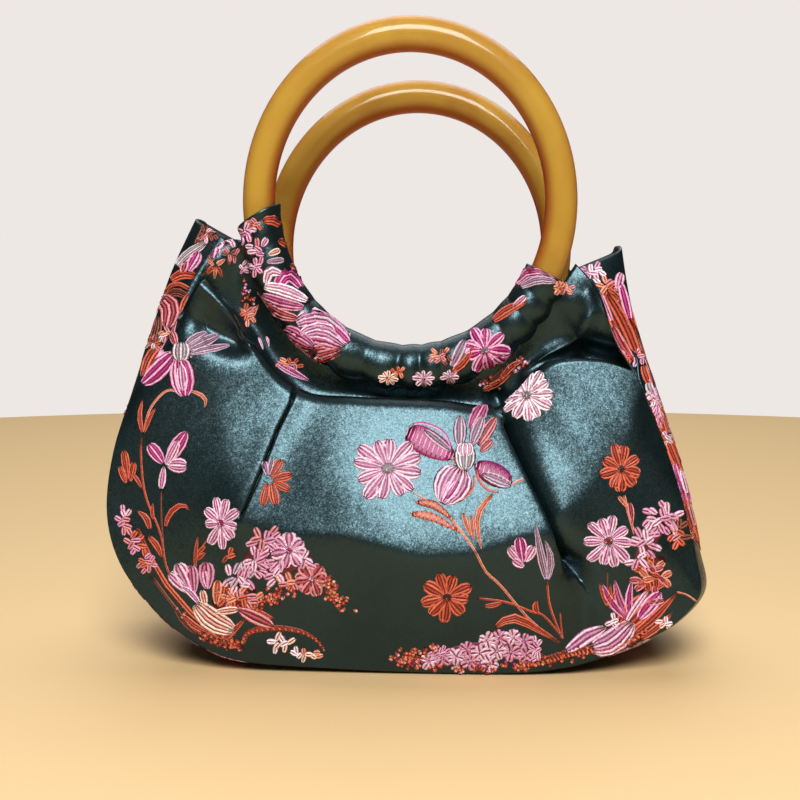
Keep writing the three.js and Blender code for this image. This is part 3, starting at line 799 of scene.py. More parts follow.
# Flowers of the panel as the front shows them; the back panel mirrors them.
FLORETS = [
    (487, 640), (500, 638), (513, 637), (524, 641), (497, 651), (511, 653), (480, 653),
    (467, 650), (456, 656), (442, 658), (429, 661), (470, 662), (490, 663), (526, 655),
]
PANEL_FLOWERS = [
    # Daisies
    *daisy(388, 468, 38, 36, 12, "blush", "grey", 8, 1, 4),
    *daisy(527, 395, 29, 28, 12, "white", "grey", 0, 2, 4),
    *daisy(447, 597, 26, 25, 9, "rust", "brown", 12, 3, 4),
    *daisy(621, 469, 21, 26, 9, "rust", "brown", 5, 4, 4),
    *daisy(609, 541, 24, 31, 10, "blush", "rust", 0, 5, 4),
    *daisy(222, 523, 20, 27, 9, "blush", "magenta", 10, 6, 4),
    *daisy(312, 579, 18, 20, 6, "rose", "white", 0, 7, 4),
    *cluster(666, 624, 8, 6, 8, ["white", "cream"], 8),
    # Large orchid
    *petal((456, 458), (405, 430), 33, "magenta", 13, 1.25, 0.5, 0, 1),
    *stem([(453, 452), (445, 434), (433, 426), (421, 423), (411, 425)], 3, "magenta"),
    *petal((452, 452), (424, 430), 10, "mauve", 3, 1.2, 0.7, 0.2),
    *stem([(456, 464), (450, 456), (442, 451), (430, 452)], 3),
    *petal((470, 430), (485, 403), 18, "pink", 5, 1.2, 0.6),
    *petal((460, 449), (460, 416), 14, "mauve", 4, 1.1, 0.8, 0.15),
    *petal((471, 447), (483, 416), 14, "mauve", 4, 1.1, 0.8, 0.25),
    *petal((478, 446), (496, 417), 13, "rose", 4, 1.1, 0.7, 0.1),
    *petal((480, 452), (492, 440), 11, "rose", 4),
    *petal((461, 467), (442, 504), 40, "blush", 8, 0.85, 0.7, 0.1),
    *petal((458, 480), (444, 500), 18, "magenta", 4, 0.9, 0.7, 0.25),
    *stem([(474, 474), (473, 488), (463, 498), (447, 505)], 3),
    *petal((474, 464), (512, 484), 24, "magenta", 9, 1.1, 0.6, 0.1, 1),
    *petal((482, 474), (511, 486), 13, "mauve", 4, 1.1, 0.6, 0.25),
    *stem([(475, 466), (479, 480), (488, 490), (500, 492)], 3),
    *pad([(465, 442), (465, 471)], 22, "grey", 6, 1, 0.65, 0.35),
    *pad([(465, 443), (465, 457)], 19, "white", 7, 1, 0.5, 0.6),
    *stem([(512, 485), (518, 481), (524, 479)], 2.6, "coral"),
    # Stems and leaves under the orchid
    *stem([(442, 506), (461, 531), (475, 551), (486, 572), (501, 586), (532, 622), (566, 647)], 3, "coral"),
    *stem([(412, 492), (426, 500), (446, 514), (470, 544)], 2, "coral"),
    *pad([(462, 533), (432, 517), (409, 514)], 11, "coral", 11, 1.2, 0.7, 0, 1),
    *pad([(454, 521), (434, 505), (415, 502)], 9, "coral", 9, 1.2, 0.7, 0.1, 1),
    *leaf([(463, 512), (466, 524), (471, 537)], 6, "coral"),
    *leaf([(471, 515), (472, 526), (474, 542)], 6, "coral"),
    *leaf([(494, 493), (481, 508), (477, 524), (482, 552)], 8, "coral"),
    *stem([(473, 598), (506, 602), (530, 611), (544, 616), (563, 638)], 2.6),
    *leaf([(484, 606), (494, 605), (504, 601)], 6),
    *leaf([(538, 613), (535, 607), (537, 600)], 8),
    *stem([(547, 580), (549, 602), (555, 621), (563, 640)], 2.6),
    *stem([(560, 612), (561, 624), (563, 640)], 1.8),
    *leaf([(494, 628), (511, 618), (531, 625), (563, 645)], 11, "rust", 4),
    # Bud on the right
    *petal((523, 563), (509, 547), 14, "blush", 5),
    *petal((523, 563), (519, 537), 15, "magenta", 5, lift=0.2),
    *petal((525, 562), (534, 546), 13, "blush", 4, lift=0.1),
    *petal((524, 567), (513, 560), 10, "blush", 3, lift=0.1),
    *leaf([(547, 581), (541, 556), (535, 522)], 10, "mauve", 4),
    *leaf([(547, 581), (551, 560), (545, 540)], 9, "mauve", 4),
    # Lower right bunch
    *stem([(624, 494), (628, 512), (635, 536)], 3, "coral"),
    *leaf([(629, 502), (631, 512), (632, 526)], 8, "rose"),
    *leaf([(618, 496), (622, 501), (627, 508)], 5, "coral"),
    *pad([(638, 574), (646, 548), (666, 514)], 20, "rose", 0, 1.1, 0.4),
    *cluster(661, 519, 20, 15, 11, ["pink", "blush", "pink"], 11),
    *cluster(646, 541, 15, 14, 11, ["blush", "pink"], 12),
    *cluster(640, 562, 10, 9, 11, ["blush", "pink"], 13),
    *cluster(678, 532, 8, 18, 10, ["rust", "rose", "brown"], 14),
    *pad([(640, 594), (652, 576), (664, 554)], 16, "rust", 0, 1, 0.4),
    *cluster(652, 576, 17, 18, 11, ["rust", "coral", "rose"], 49, 3),
    *leaf([(655, 590), (663, 584), (669, 582)], 7),
    *pad([(620, 628), (636, 612), (654, 596)], 28, "rust", 5, 1, 0.4),
    *leaf([(628, 620), (611, 602), (603, 584)], 10, "magenta", 3),
    *leaf([(629, 620), (619, 600), (615, 580)], 11, "pink", 3),
    *leaf([(630, 620), (629, 600), (632, 580)], 10, "magenta", 3),
    *pad([(626, 622), (636, 606), (648, 590)], 8, "blush", 2, 1, 0.4, 0.3),
    *petal((638, 620), (661, 592), 18, "magenta", 4, 1.1, 0.7, 0.2),
    *petal((646, 604), (664, 600), 9, "rose", 3, lift=0.3),
    *leaf([(608, 607), (604, 596), (600, 584)], 5),
    *leaf([(609, 607), (610, 596), (611, 584)], 5),
    *leaf([(610, 607), (614, 597), (617, 585)], 5),
    *stem([(608, 570), (608, 590), (610, 610)], 1.8, "brown"),
    *leaf([(632, 636), (654, 618), (677, 593)], 11),
    *leaf([(640, 640), (658, 627), (673, 612)], 8),
    *pad([(598, 653), (622, 645), (648, 629)], 13, "rust", 11, 1, 0.4, 0, 2),
    *pad([(565, 651), (584, 641), (606, 627)], 14, "blush", 3, 1, 0.5, 0.1),
    *pad([(592, 649), (612, 643), (633, 622)], 27, "blush", 6, 1.1, 0.45, 0.15),
    *cluster(612, 621, 6, 6, 8, ["white", "blush"], 42),
    *stem([(676, 592), (687, 595), (697, 602)], 2, "coral"),
    *pad([(512, 668), (545, 661), (572, 653), (604, 648), (644, 636)], 12, "rust", 26, 1, 0.3, 0, 2, 15),
    *grains([(517, 666), (545, 661), (572, 653), (600, 648)], 6, 40, 6, ["rust", "coral"], 15),
    # Florets at the foot, in the middle
    *pad([(424, 664), (450, 657), (490, 650), (538, 652)], 24, "pink", 0, 1, 0.5),
    *[
        piece
        for k, (x, y) in enumerate(FLORETS)
        for piece in daisy(x, y, 10, 9, 5, ("blush", "pink")[k % 2], "magenta", 20 * k, 40 + k, 2)
    ],
    *cluster(536, 650, 6, 12, 8, ["magenta", "blush"], 16),
    *cluster(440, 653, 14, 6, 7, ["magenta", "pink"], 17),
    *grains([(398, 662), (430, 664), (480, 668), (530, 665)], 5, 110, 6, ["rust", "coral", "magenta"], 18),
    *grains([(398, 658), (416, 655), (436, 648)], 7, 44, 6, ["rust", "coral"], 19),
    # Rust flower at the left pleat
    *petal((271, 478), (282, 460), 11, "rust"),
    *petal((273, 480), (292, 475), 11, "rust"),
    *petal((273, 482), (290, 490), 10, "rust"),
    *petal((272, 483), (276, 505), 12, "rust"),
    *petal((268, 483), (263, 506), 10, "rust"),
    *petal((268, 476), (264, 461), 8, "mauve", 3),
    *petal((269, 476), (273, 458), 7, "mauve", 3),
    # Left orchid
    *petal((184, 348), (204, 329), 15, "mauve", 5, 1.1, 0.8),
    *petal((187, 350), (219, 331), 14, "mauve", 5, 1.1, 0.8, 0.15),
    *petal((188, 354), (231, 343), 10, "mauve", 4, 1.1, 0.8),
    *petal((176, 346), (170, 330), 10, "rose", 4),
    *petal((174, 352), (142, 384), 24, "magenta", 6, 1.1, 0.6),
    *petal((179, 357), (185, 397), 27, "magenta", 6, 1, 0.6, 0.15),
    *petal((181, 364), (184, 392), 13, "blush", 4, 1, 0.7, 0.3),
    *pad([(181, 342), (181, 361)], 19, "grey", 5, 1, 0.45, 0.35),
    *grains([(170, 352), (182, 364), (192, 354)], 3, 16, 4, ["rose", "white"], 43),
    *stem([(185, 397), (172, 390), (161, 395), (149, 412), (144, 436)], 2.8, "coral"),
    *leaf([(189, 391), (200, 394), (206, 401), (204, 408)], 5, "coral"),
    *leaf([(143, 434), (140, 416), (143, 400)], 6),
    *leaf([(145, 432), (150, 418), (156, 408)], 5),
    # Left bud and its stems
    *petal((166, 464), (187, 431), 17, "magenta", 5, 1.1, 0.8),
    *petal((166, 466), (179, 440), 12, "blush", 4, 1.1, 0.8, 0.2),
    *petal((164, 464), (149, 444), 15, "magenta", 5),
    *petal((167, 465), (187, 466), 17, "blush", 5, lift=0.1),
    *petal((164, 466), (161, 489), 9, "blush", 3),
    *stem(
        [(142, 432), (141, 455), (143, 484), (148, 504), (156, 522), (162, 540), (165, 562), (172, 582)],
        2.4,
    ),
    *stem([(161, 488), (161, 510), (162, 530), (164, 556)], 2, "brown"),
    *leaf([(165, 529), (168, 517), (175, 508), (184, 505), (190, 511)], 7),
    *leaf([(150, 530), (146, 518), (137, 511)], 8),
    *leaf([(148, 536), (157, 546), (162, 558)], 8),
    *leaf([(154, 520), (152, 512), (153, 503)], 5),
    *petal((128, 480), (124, 450), 10, "rust"),
    *petal((130, 482), (134, 462), 9, "rust"),
    *petal((126, 484), (120, 466), 8, "rust"),
    *leaf([(133, 474), (138, 481), (142, 489)], 5),
    # Lower left bunch
    *cluster(124, 520, 8, 12, 9, ["rose", "pink", "blush"], 20),
    *cluster(134, 541, 9, 12, 9, ["pink", "rose", "rust"], 44),
    *cluster(147, 562, 8, 12, 8, ["rose", "rust", "pink"], 45),
    *pad(
        [(136, 524), (150, 556), (166, 584), (188, 610), (212, 632), (246, 650)],
        width=7,
        thread="rust",
        ribs=2,
        bulk=1,
        blunt=0.3,
        sections=13,
    ),
    *stem([(150, 574), (172, 604), (196, 630), (232, 648)], 4, "brown"),
    *leaf([(182, 614), (196, 627), (216, 636)], 8),
    *leaf([(174, 606), (184, 622), (198, 636)], 7, "brown"),
    *leaf([(206, 624), (220, 632), (238, 634)], 8),
    *grains([(180, 614), (206, 634), (240, 648)], 7, 36, 6, ["rust", "coral", "brown"], 46),
    *pad([(210, 601), (232, 599), (258, 588)], 20, "rust", 0, 1, 0.4),
    *cluster(238, 598, 24, 9, 10, ["rust", "coral", "rose"], 48),
    *petal((193, 594), (169, 573), 16, "blush", 4),
    *petal((193, 595), (177, 563), 19, "blush", 4, lift=0.1),
    *petal((194, 594), (191, 565), 15, "pink", 4, lift=0.2),
    *leaf([(200, 604), (190, 592), (180, 586)], 8, "blush", lift=0.3),
    *petal((207, 590), (206, 562), 19, "pink", 4),
    *petal((207, 588), (204, 570), 9, "magenta", 2, lift=0.2),
    *leaf([(195, 569), (196, 551), (198, 536)], 5),
    *leaf([(197, 560), (201, 556), (206, 552)], 6),
    *leaf([(198, 553), (202, 549), (206, 546)], 5),
    *stem([(196, 562), (203, 546), (210, 538)], 1.8),
    *petal((216, 605), (218, 580), 12, "coral", 3, lift=0.1),
    *petal((225, 603), (229, 582), 10, "rust", 3, lift=0.1),
    *petal((206, 608), (202, 590), 9, "cream", 3, lift=0.1),
    *pad([(195, 603), (212, 620), (235, 630)], 25, "cream", 6, 1.05, 0.5, 0.3),
    *petal((214, 612), (239, 609), 9, "cream", 3, lift=0.3),
    *petal((238, 609), (274, 626), 15, "rose", 3, 1.05, 0.7, 0.1),
    *leaf([(250, 608), (262, 613), (275, 619)], 6),
    *pad(
        [(242, 646), (247, 634), (261, 629), (281, 628), (302, 632), (317, 641), (328, 656)],
        width=8,
        thread="rust",
        ribs=18,
        bulk=0.6,
        blunt=0.7,
        hatch=1,
        sections=15,
    ),
    *leaf([(213, 630), (222, 623), (232, 624)], 8),
    *leaf([(222, 640), (232, 632), (246, 618)], 8),
    *grains([(200, 634), (216, 640), (240, 647)], 6, 30, 7, ["rust", "brown"], 21),
    *cluster(281, 643, 13, 7, 9, ["white", "cream"], 9),
    *cluster(305, 654, 16, 5, 8, ["cream", "white", "coral"], 23),
    # Full heads of small petals on the left
    *pad([(236, 588), (248, 564), (264, 538)], 18, "rose", 0, 1, 0.4),
    *pad([(258, 574), (282, 570), (302, 560)], 16, "rose", 0, 1, 0.4),
    *cluster(266, 541, 15, 13, 11, ["pink", "rose", "pink"], 24),
    *cluster(257, 561, 15, 14, 11, ["pink", "blush", "pink"], 25),
    *cluster(239, 580, 15, 16, 11, ["blush", "mauve", "pink"], 28),
    *cluster(274, 573, 13, 11, 11, ["blush", "pink", "magenta"], 29),
    *cluster(306, 561, 8, 9, 10, ["blush", "pink"], 27),
    *cluster(288, 582, 10, 7, 10, ["coral", "rose"], 47),
    *daisy(289, 551, 20, 19, 7, "blush", "magenta", 10, 26, 3),
    *grains([(226, 598), (250, 603), (275, 596), (294, 587)], 8, 110, 6, ["rust", "coral", "rose"], 31),
    *grains([(320, 578), (331, 590), (342, 604)], 9, 60, 6, ["rust", "coral"], 32),
    *cluster(229, 556, 6, 6, 9, ["rust", "brown"], 33),
]


def rib_top(side, share):
    """Top ends of the ribs on this side; the back hangs lower in the middle than at its corners."""
    x, y, z, *_ = read(RIBS, share)
    swing = np.sin(np.pi * share)
    x = x + side["ring"][0] * swing
    z = z - side["drop"] * np.maximum(swing, 0) ** DROP_SPREAD
    return np.stack([x, -side["sign"] * y, z], axis=-1)


def rib_foot(side, share):
    """Bottom ends of the ribs, on the sewn edge of the strip."""
    *_, foot_row, _, _ = read(RIBS, share)
    place = foot_row / (len(STRIP) - 1)
    _, _, half_depth, edge_curl = read(STRIP, place)
    return strip_point(place, edge_curl, side["sign"] * (half_depth + SEAM_STEP))


def panel_surface(side, share, v):
    """Straight ribs from foot to top, swollen by a rounded tent that peaks at the belly's crease."""
    *_, swell = read(RIBS, share)
    foot, top = rib_foot(side, share), rib_top(side, share)
    points = foot + (top - foot) * v[..., None]
    crease = np.interp(share, BELLY_CREASE[:, 0], BELLY_CREASE[:, 1])
    rounding = np.interp(share, BELLY_CREASE[:, 0], BELLY_CREASE[:, 2])
    rise = np.where(v < crease, v / crease, (1 - v) / (1 - crease)) - 1
    fall = (rise**2 + rounding) ** (BELLY_SHARPNESS / 2)
    belly = (1 + rounding) ** (BELLY_SHARPNESS / 2) - fall
    points[..., 1] += side["sign"] * swell * belly
    turned = np.clip((v - 1 + EDGE_TURN) / EDGE_TURN, 0, 1) ** 2
    points[..., 1] -= side["sign"] * EDGE_DEPTH * turned
    return points


def distance_to(route, spots):
    """Distance from spots to a line of straight pieces: the least over its pieces, negative on its left."""
    route = np.array(route, float)
    least = np.full(spots.shape[:-1], np.inf)
    for start, end in zip(route[:-1], route[1:]):
        reach, offset = end - start, spots - start
        t = np.clip((offset @ reach) / (reach @ reach), 0, 1)
        away = np.linalg.norm(offset - t[..., None] * reach, axis=-1)
        right = reach[1] * offset[..., 0] > reach[0] * offset[..., 1]
        least = np.where(away < np.abs(least), np.where(right, away, -away), least)
    return least


def fold_heights(folds, spots):
    """Sum over the folds of height times a bell that falls off with the distance from the fold's route. A
    pair of widths is for the left and the right of the route."""
    total = np.zeros(spots.shape[:-1])
    for route, width, height, rounded in folds.values():
        away = distance_to(route, spots)
        left, right = np.broadcast_to(width, 2)
        total += height * np.exp(-(np.abs(away / np.where(away < 0, left, right)) ** rounded))
    return total


def ripples(points):
    """Soft unevenness of hanging cloth: the mean of a few slow waves across it in different directions."""
    x, z = points[..., 0], points[..., 2]
    waves = [np.sin(x / across + z / up + start) for across, up, start in RIPPLES]
    return RIPPLE_HEIGHT * np.mean(waves, axis=0)


def crowded_shares(count):
    """Shares of the width, closer together near the pleats: evenly spaced in the sum of a density."""
    fine_steps = 4001
    even = np.linspace(0, 1, fine_steps)
    bells = [np.exp(-(((even - middle) / wide) ** 2)) for middle, wide in PLEAT_PLACES]
    total = np.cumsum(1 + PLEAT_CROWDING * sum(bells))
    return np.interp(np.linspace(total[0], total[-1], count), total, even)


def mirrored(side, values):
    """Values over the front's grid as this side has them: the rows of the back's grid run the other way."""
    return values if side["sign"] < 0 else values[::-1]


def mirrored_places(side, places):
    """Shares of the front's cloth as this side has them: the back's rows run the other way."""
    return places if side["sign"] < 0 else [(1 - u, v) for u, v in places]


panel_u, panel_v = np.broadcast_arrays(
    crowded_shares(PANEL_GRID[0])[:, None], np.linspace(0, 1, PANEL_GRID[1])[None, :]
)
panel_base = {
    "front": panel_surface(SIDES["front"], panel_u, panel_v),
    "back": panel_surface(SIDES["back"], panel_u[::-1], panel_v),
}
panel_fold = fold_heights(PANEL_FOLDS, to_picture(panel_base["front"]))
panel_fold = (panel_fold + ripples(panel_base["front"])) * np.clip(panel_v / FOLD_FADE, 0, 1)
panel_fold = np.maximum(panel_fold, -EDGE_DENT - (1 - panel_v) * DENT_GROWTH)
panel_lap = np.zeros(PANEL_GRID)
for pleat, (strongest, wide, reach) in PLEAT_LAPS.items():
    groove_offset = distance_to(PANEL_FOLDS[pleat][0], to_picture(panel_base["front"]))
    panel_lap += reach * np.exp(-(((groove_offset + strongest) / wide) ** 2))
panel_lap *= np.clip((1 - panel_v) / LAP_TOP_FADE, 0, 1)
panel_lap *= np.clip((panel_v - LAP_FOOT) / LAP_FOOT_FADE, 0, 1)
panel_groups = cushions(PANEL_FLOWERS)
panel_seen = panel_base["front"].copy()
panel_seen[..., 0] += panel_lap
panel_places = [find(panel_seen, group["spots"]) for group in panel_groups]
for name, side in SIDES.items():
    fold = mirrored(side, panel_fold)
    points = panel_base[name] + normals_of(panel_base[name]) * fold[..., None]
    points[..., 0] += mirrored(side, panel_lap)
    panel_cloth = add_cloth(f"{name}_panel_cloth", points, f"{name}_panel")
    places = mirrored_places(side, panel_places)
    panel_flowers = add_flowers(f"{name}_panel_flowers", panel_groups, places, points)


# The yokes
# A crescent of the same brocade on each side, gathered under the sleeve above and behind the panel's turned
# edge below, and sewn to the tabs at both ends.
YOKE_GRID = (160, 44)
YOKE_TUCK = 2.6
YOKE_SINK = 5.0
YOKE_HOLLOW = 9.0
YOKE_HOLLOW_LOW = 0.5
YOKE_REACH = 6.9
YOKE_END = 0.05
RING_RADIUS = 58.75
RING_STRETCH = 1.09

# Rows of the strip that the yoke's left and right ends reach, at their foot and at their top.
YOKE_LEFT_ROWS = (1.7, 0.3)
YOKE_RIGHT_ROWS = (19.6, 22.6)

# Folds of the yoke, as for the panel.
YOKE_FOLDS = {
    "right puff": ([(572, 300), (582, 318)], 18, 4, 2),
    "right fold": ([(528, 374), (548, 353), (568, 343), (586, 331), (594, 312), (588, 292)], 7, 3.2, 1.5),
    "left puff": ([(215, 262), (225, 290)], 20, 2.5, 2),
    "pleat root": ([(496, 396), (503, 416)], 9, -4, 2),
    "right shade": ([(588, 356), (622, 364)], 14, -5, 2),
}

YOKE_FLOWERS = [
    *cluster(227, 240, 11, 7, 9, ["blush", "magenta", "pink"], 51),
    *petal((214, 260), (220, 246), 10, "magenta", 4),
    *leaf([(214, 265), (209, 262), (202, 260)], 5, "coral"),
    *leaf([(214, 266), (210, 269), (206, 274)], 5),
    *leaf([(215, 266), (214, 271), (213, 278)], 5, "coral"),
    *leaf([(216, 266), (219, 270), (221, 276)], 5),
    *leaf([(216, 264), (220, 262), (226, 258)], 5, "coral"),
    *cluster(232, 255, 9, 6, 7, ["brown", "rose"], 56),
    *cluster(245, 268, 4, 8, 6, ["blush", "pink"], 52),
    *grains([(246, 283), (249, 292), (250, 302)], 5, 18, 5, ["rust", "rose", "blush"], 53),
    *cluster(249, 315, 8, 9, 8, ["coral", "rust", "rose"], 57),
    *leaf([(251, 320), (246, 314), (239, 308)], 6, "coral"),
    *leaf([(252, 319), (254, 312), (259, 304)], 6, "coral"),
    *leaf([(258, 337), (261, 343), (263, 350)], 4, "blush", 2),
    *leaf([(266, 336), (268, 341), (269, 347)], 4, "blush", 2),
    *leaf([(275, 362), (290, 371), (310, 381)], 10, "magenta", 4),
    *cluster(290, 364, 12, 6, 7, ["rose", "coral", "rust"], 58),
    *leaf([(482, 391), (497, 384), (512, 372)], 9),
    *leaf([(499, 380), (511, 367), (523, 359)], 8),
    *leaf([(490, 382), (500, 374), (508, 364)], 7, "brown"),
    *grains([(484, 388), (505, 375), (524, 360)], 7, 36, 6, ["rust", "brown", "blush"], 54),
    *cluster(566, 290, 7, 6, 7, ["coral", "rose"], 55),
]


def ring_point(side, angle, outwards, forwards):
    """A point beside a ring: round an upright oval, then leant out at the top, then moved to its place."""
    radius = RING_RADIUS + outwards
    x = radius * np.cos(angle)
    z = radius * np.sin(angle) * RING_STRETCH
    lean = -math.radians(side["lean"]) * side["sign"]
    y_leant = forwards * math.cos(lean) - z * math.sin(lean)
    z_leant = forwards * math.sin(lean) + z * math.cos(lean)
    return np.stack(np.broadcast_arrays(x, y_leant, z_leant), axis=-1) + np.array(side["ring"])


def yoke_surface(side, u, v):
    """From behind the panel's edge up into the sleeve, hollow low down, its ends drawn to the strip."""
    share = u if side["sign"] < 0 else 1 - u
    low = rib_top(side, share)
    low[..., 1] -= side["sign"] * YOKE_TUCK
    low[..., 2] -= YOKE_SINK
    *_, ring_angle, _ = read(RIBS, share)
    high = ring_point(side, np.radians(ring_angle), YOKE_REACH, 0)
    points = low + (high - low) * v[..., None]
    points[..., 1] -= side["sign"] * YOKE_HOLLOW * np.sin(np.pi * v**YOKE_HOLLOW_LOW)
    for rows, away in ((YOKE_LEFT_ROWS, share), (YOKE_RIGHT_ROWS, 1 - share)):
        place = (rows[0] + (rows[1] - rows[0]) * v) / (len(STRIP) - 1)
        _, _, half_depth, edge_curl = read(STRIP, place)
        edge = strip_point(place, edge_curl, side["sign"] * half_depth)
        pull = np.clip(1 - away / YOKE_END, 0, 1)[..., None]
        points += (edge - points) * pull**2 * (3 - 2 * pull)
    return points


yoke_u, yoke_v = np.broadcast_arrays(*shares(YOKE_GRID))
yoke_base = {name: yoke_surface(side, yoke_u, yoke_v) for name, side in SIDES.items()}
yoke_fold = fold_heights(YOKE_FOLDS, to_picture(yoke_base["front"]))
yoke_groups = cushions(YOKE_FLOWERS)
yoke_places = [find(yoke_base["front"], group["spots"]) for group in yoke_groups]
for name, side in SIDES.items():
    fold = mirrored(side, yoke_fold)
    points = yoke_base[name] + normals_of(yoke_base[name]) * fold[..., None]
    yoke_cloth = add_cloth(f"{name}_yoke_cloth", points, f"{name}_yoke")
    places = mirrored_places(side, yoke_places)
    yoke_flowers = add_flowers(f"{name}_yoke_flowers", yoke_groups, places, points)


# The rings
# Two round handles of polished amber resin, cast in one piece, held only by the sleeves round their lower
# arcs. Painted shade makes the resin deeper and redder along the tube's inner and outer sides, and the resin
# glows faintly with painted light that evens out its shading.
RING_TUBE = 6.25
RING_GRID = (144, 32)
RESIN_CLOUDS = 28
RESIN_LIGHT = linear(152, 121, 46)
# Painted light: the resin glows with its own colour at this strength, though it is no lamp, to even out its
# shading.
RESIN_GLOW = 0.3
RESIN_DARK = linear(140, 104, 38)
RESIN_DEPTH = (0.02, 0.014, 0.006)
# Painted shade on the tube's inner and outer sides: its colour, where round the tube it starts, and how
# strong it is on the outer side.
PAINTED_RIM_COLOUR = linear(122, 46, 14)
PAINTED_RIM_START = 0.45
OUTER_PAINTED_RIM = 0.45

resin, tree, shader = new_material("amber_resin")
resin_cloud = noise(tree, RESIN_CLOUDS, 3.0, 0.6).outputs["Fac"]
resin_tone = ramp(tree, resin_cloud, 0.3, 0.62, RESIN_DARK, RESIN_LIGHT)
# Painted shade: how much of the deeper, redder colour each point of the ring's mesh takes.
painted_rim_shade = node(tree, "ShaderNodeAttribute", attribute_name="painted_rim_shade")
resin_colour = node(
    tree,
    "ShaderNodeMixRGB",
    [("Fac", painted_rim_shade.outputs["Fac"]), ("Color1", resin_tone)],
    [("Color2", (*PAINTED_RIM_COLOUR, 1))],
)
tree.links.new(resin_colour.outputs["Color"], shader.inputs["Base Color"])
# Painted light: the resin's colour, painted shade included, also glows.
tree.links.new(resin_colour.outputs["Color"], shader.inputs["Emission Color"])
shader.inputs["Roughness"].default_value = 0.3
shader.inputs["Specular IOR Level"].default_value = 0.1
shader.inputs["Subsurface Weight"].default_value = 0.8
shader.inputs["Subsurface Radius"].default_value = RESIN_DEPTH
shader.inputs["Subsurface Scale"].default_value = 1.0
shader.inputs["Emission Strength"].default_value = RESIN_GLOW
shader.inputs["Coat Weight"].default_value = 0.3
shader.inputs["Coat Roughness"].default_value = 0.03

ring_u = np.arange(RING_GRID[0])[:, None] / RING_GRID[0] * 2 * np.pi
ring_v = np.arange(RING_GRID[1])[None, :] / RING_GRID[1] * 2 * np.pi
# Painted shade: full on the tube's inner side, weaker on its outer side, none on the faces towards the front
# and back.
inner_painted_rim = np.clip((-np.cos(ring_v) - PAINTED_RIM_START) / (1 - PAINTED_RIM_START), 0, 1)
outer_painted_rim = OUTER_PAINTED_RIM * np.clip((np.cos(ring_v) - PAINTED_RIM_START) / (1 - PAINTED_RIM_START), 0, 1)
painted_rim_share = np.broadcast_to(inner_painted_rim + outer_painted_rim, RING_GRID).ravel()
for name, side in SIDES.items():
    ring_points = ring_point(side, ring_u, RING_TUBE * np.cos(ring_v), -RING_TUBE * np.sin(ring_v))
    ring_faces = grid_faces(*RING_GRID, wrap_rows=True, wrap_columns=True).tolist()
    ring = add_mesh(f"{name}_ring_resin", ring_points, ring_faces, [resin], f"{name}_ring")
    ring.data.attributes.new("painted_rim_shade", "FLOAT", "POINT").data.foreach_set("value", painted_rim_share)


# The sleeves
# Each ring lies in a sleeve of brocade that wraps its lower arc, gathered along the ring and open at both
# ends. The gathers are fullest low on the ring and on its outer side.
SLEEVE_GRID = (220, 40)
SLEEVE_SLANT = 3.5
SLEEVE_RADIUS = 8.3
SLEEVE_GATHERS = 14
GATHER_HEIGHT = 1.2
GATHER_SWAY = 1.4
SWAY_TURNS = 3.3
GATHER_TWIST = 0.5
GATHER_MIDDLE = 0.58
GATHER_SPREAD = 0.3
LEAST_GATHER = 0.35
EVEN_GATHER = 0.6

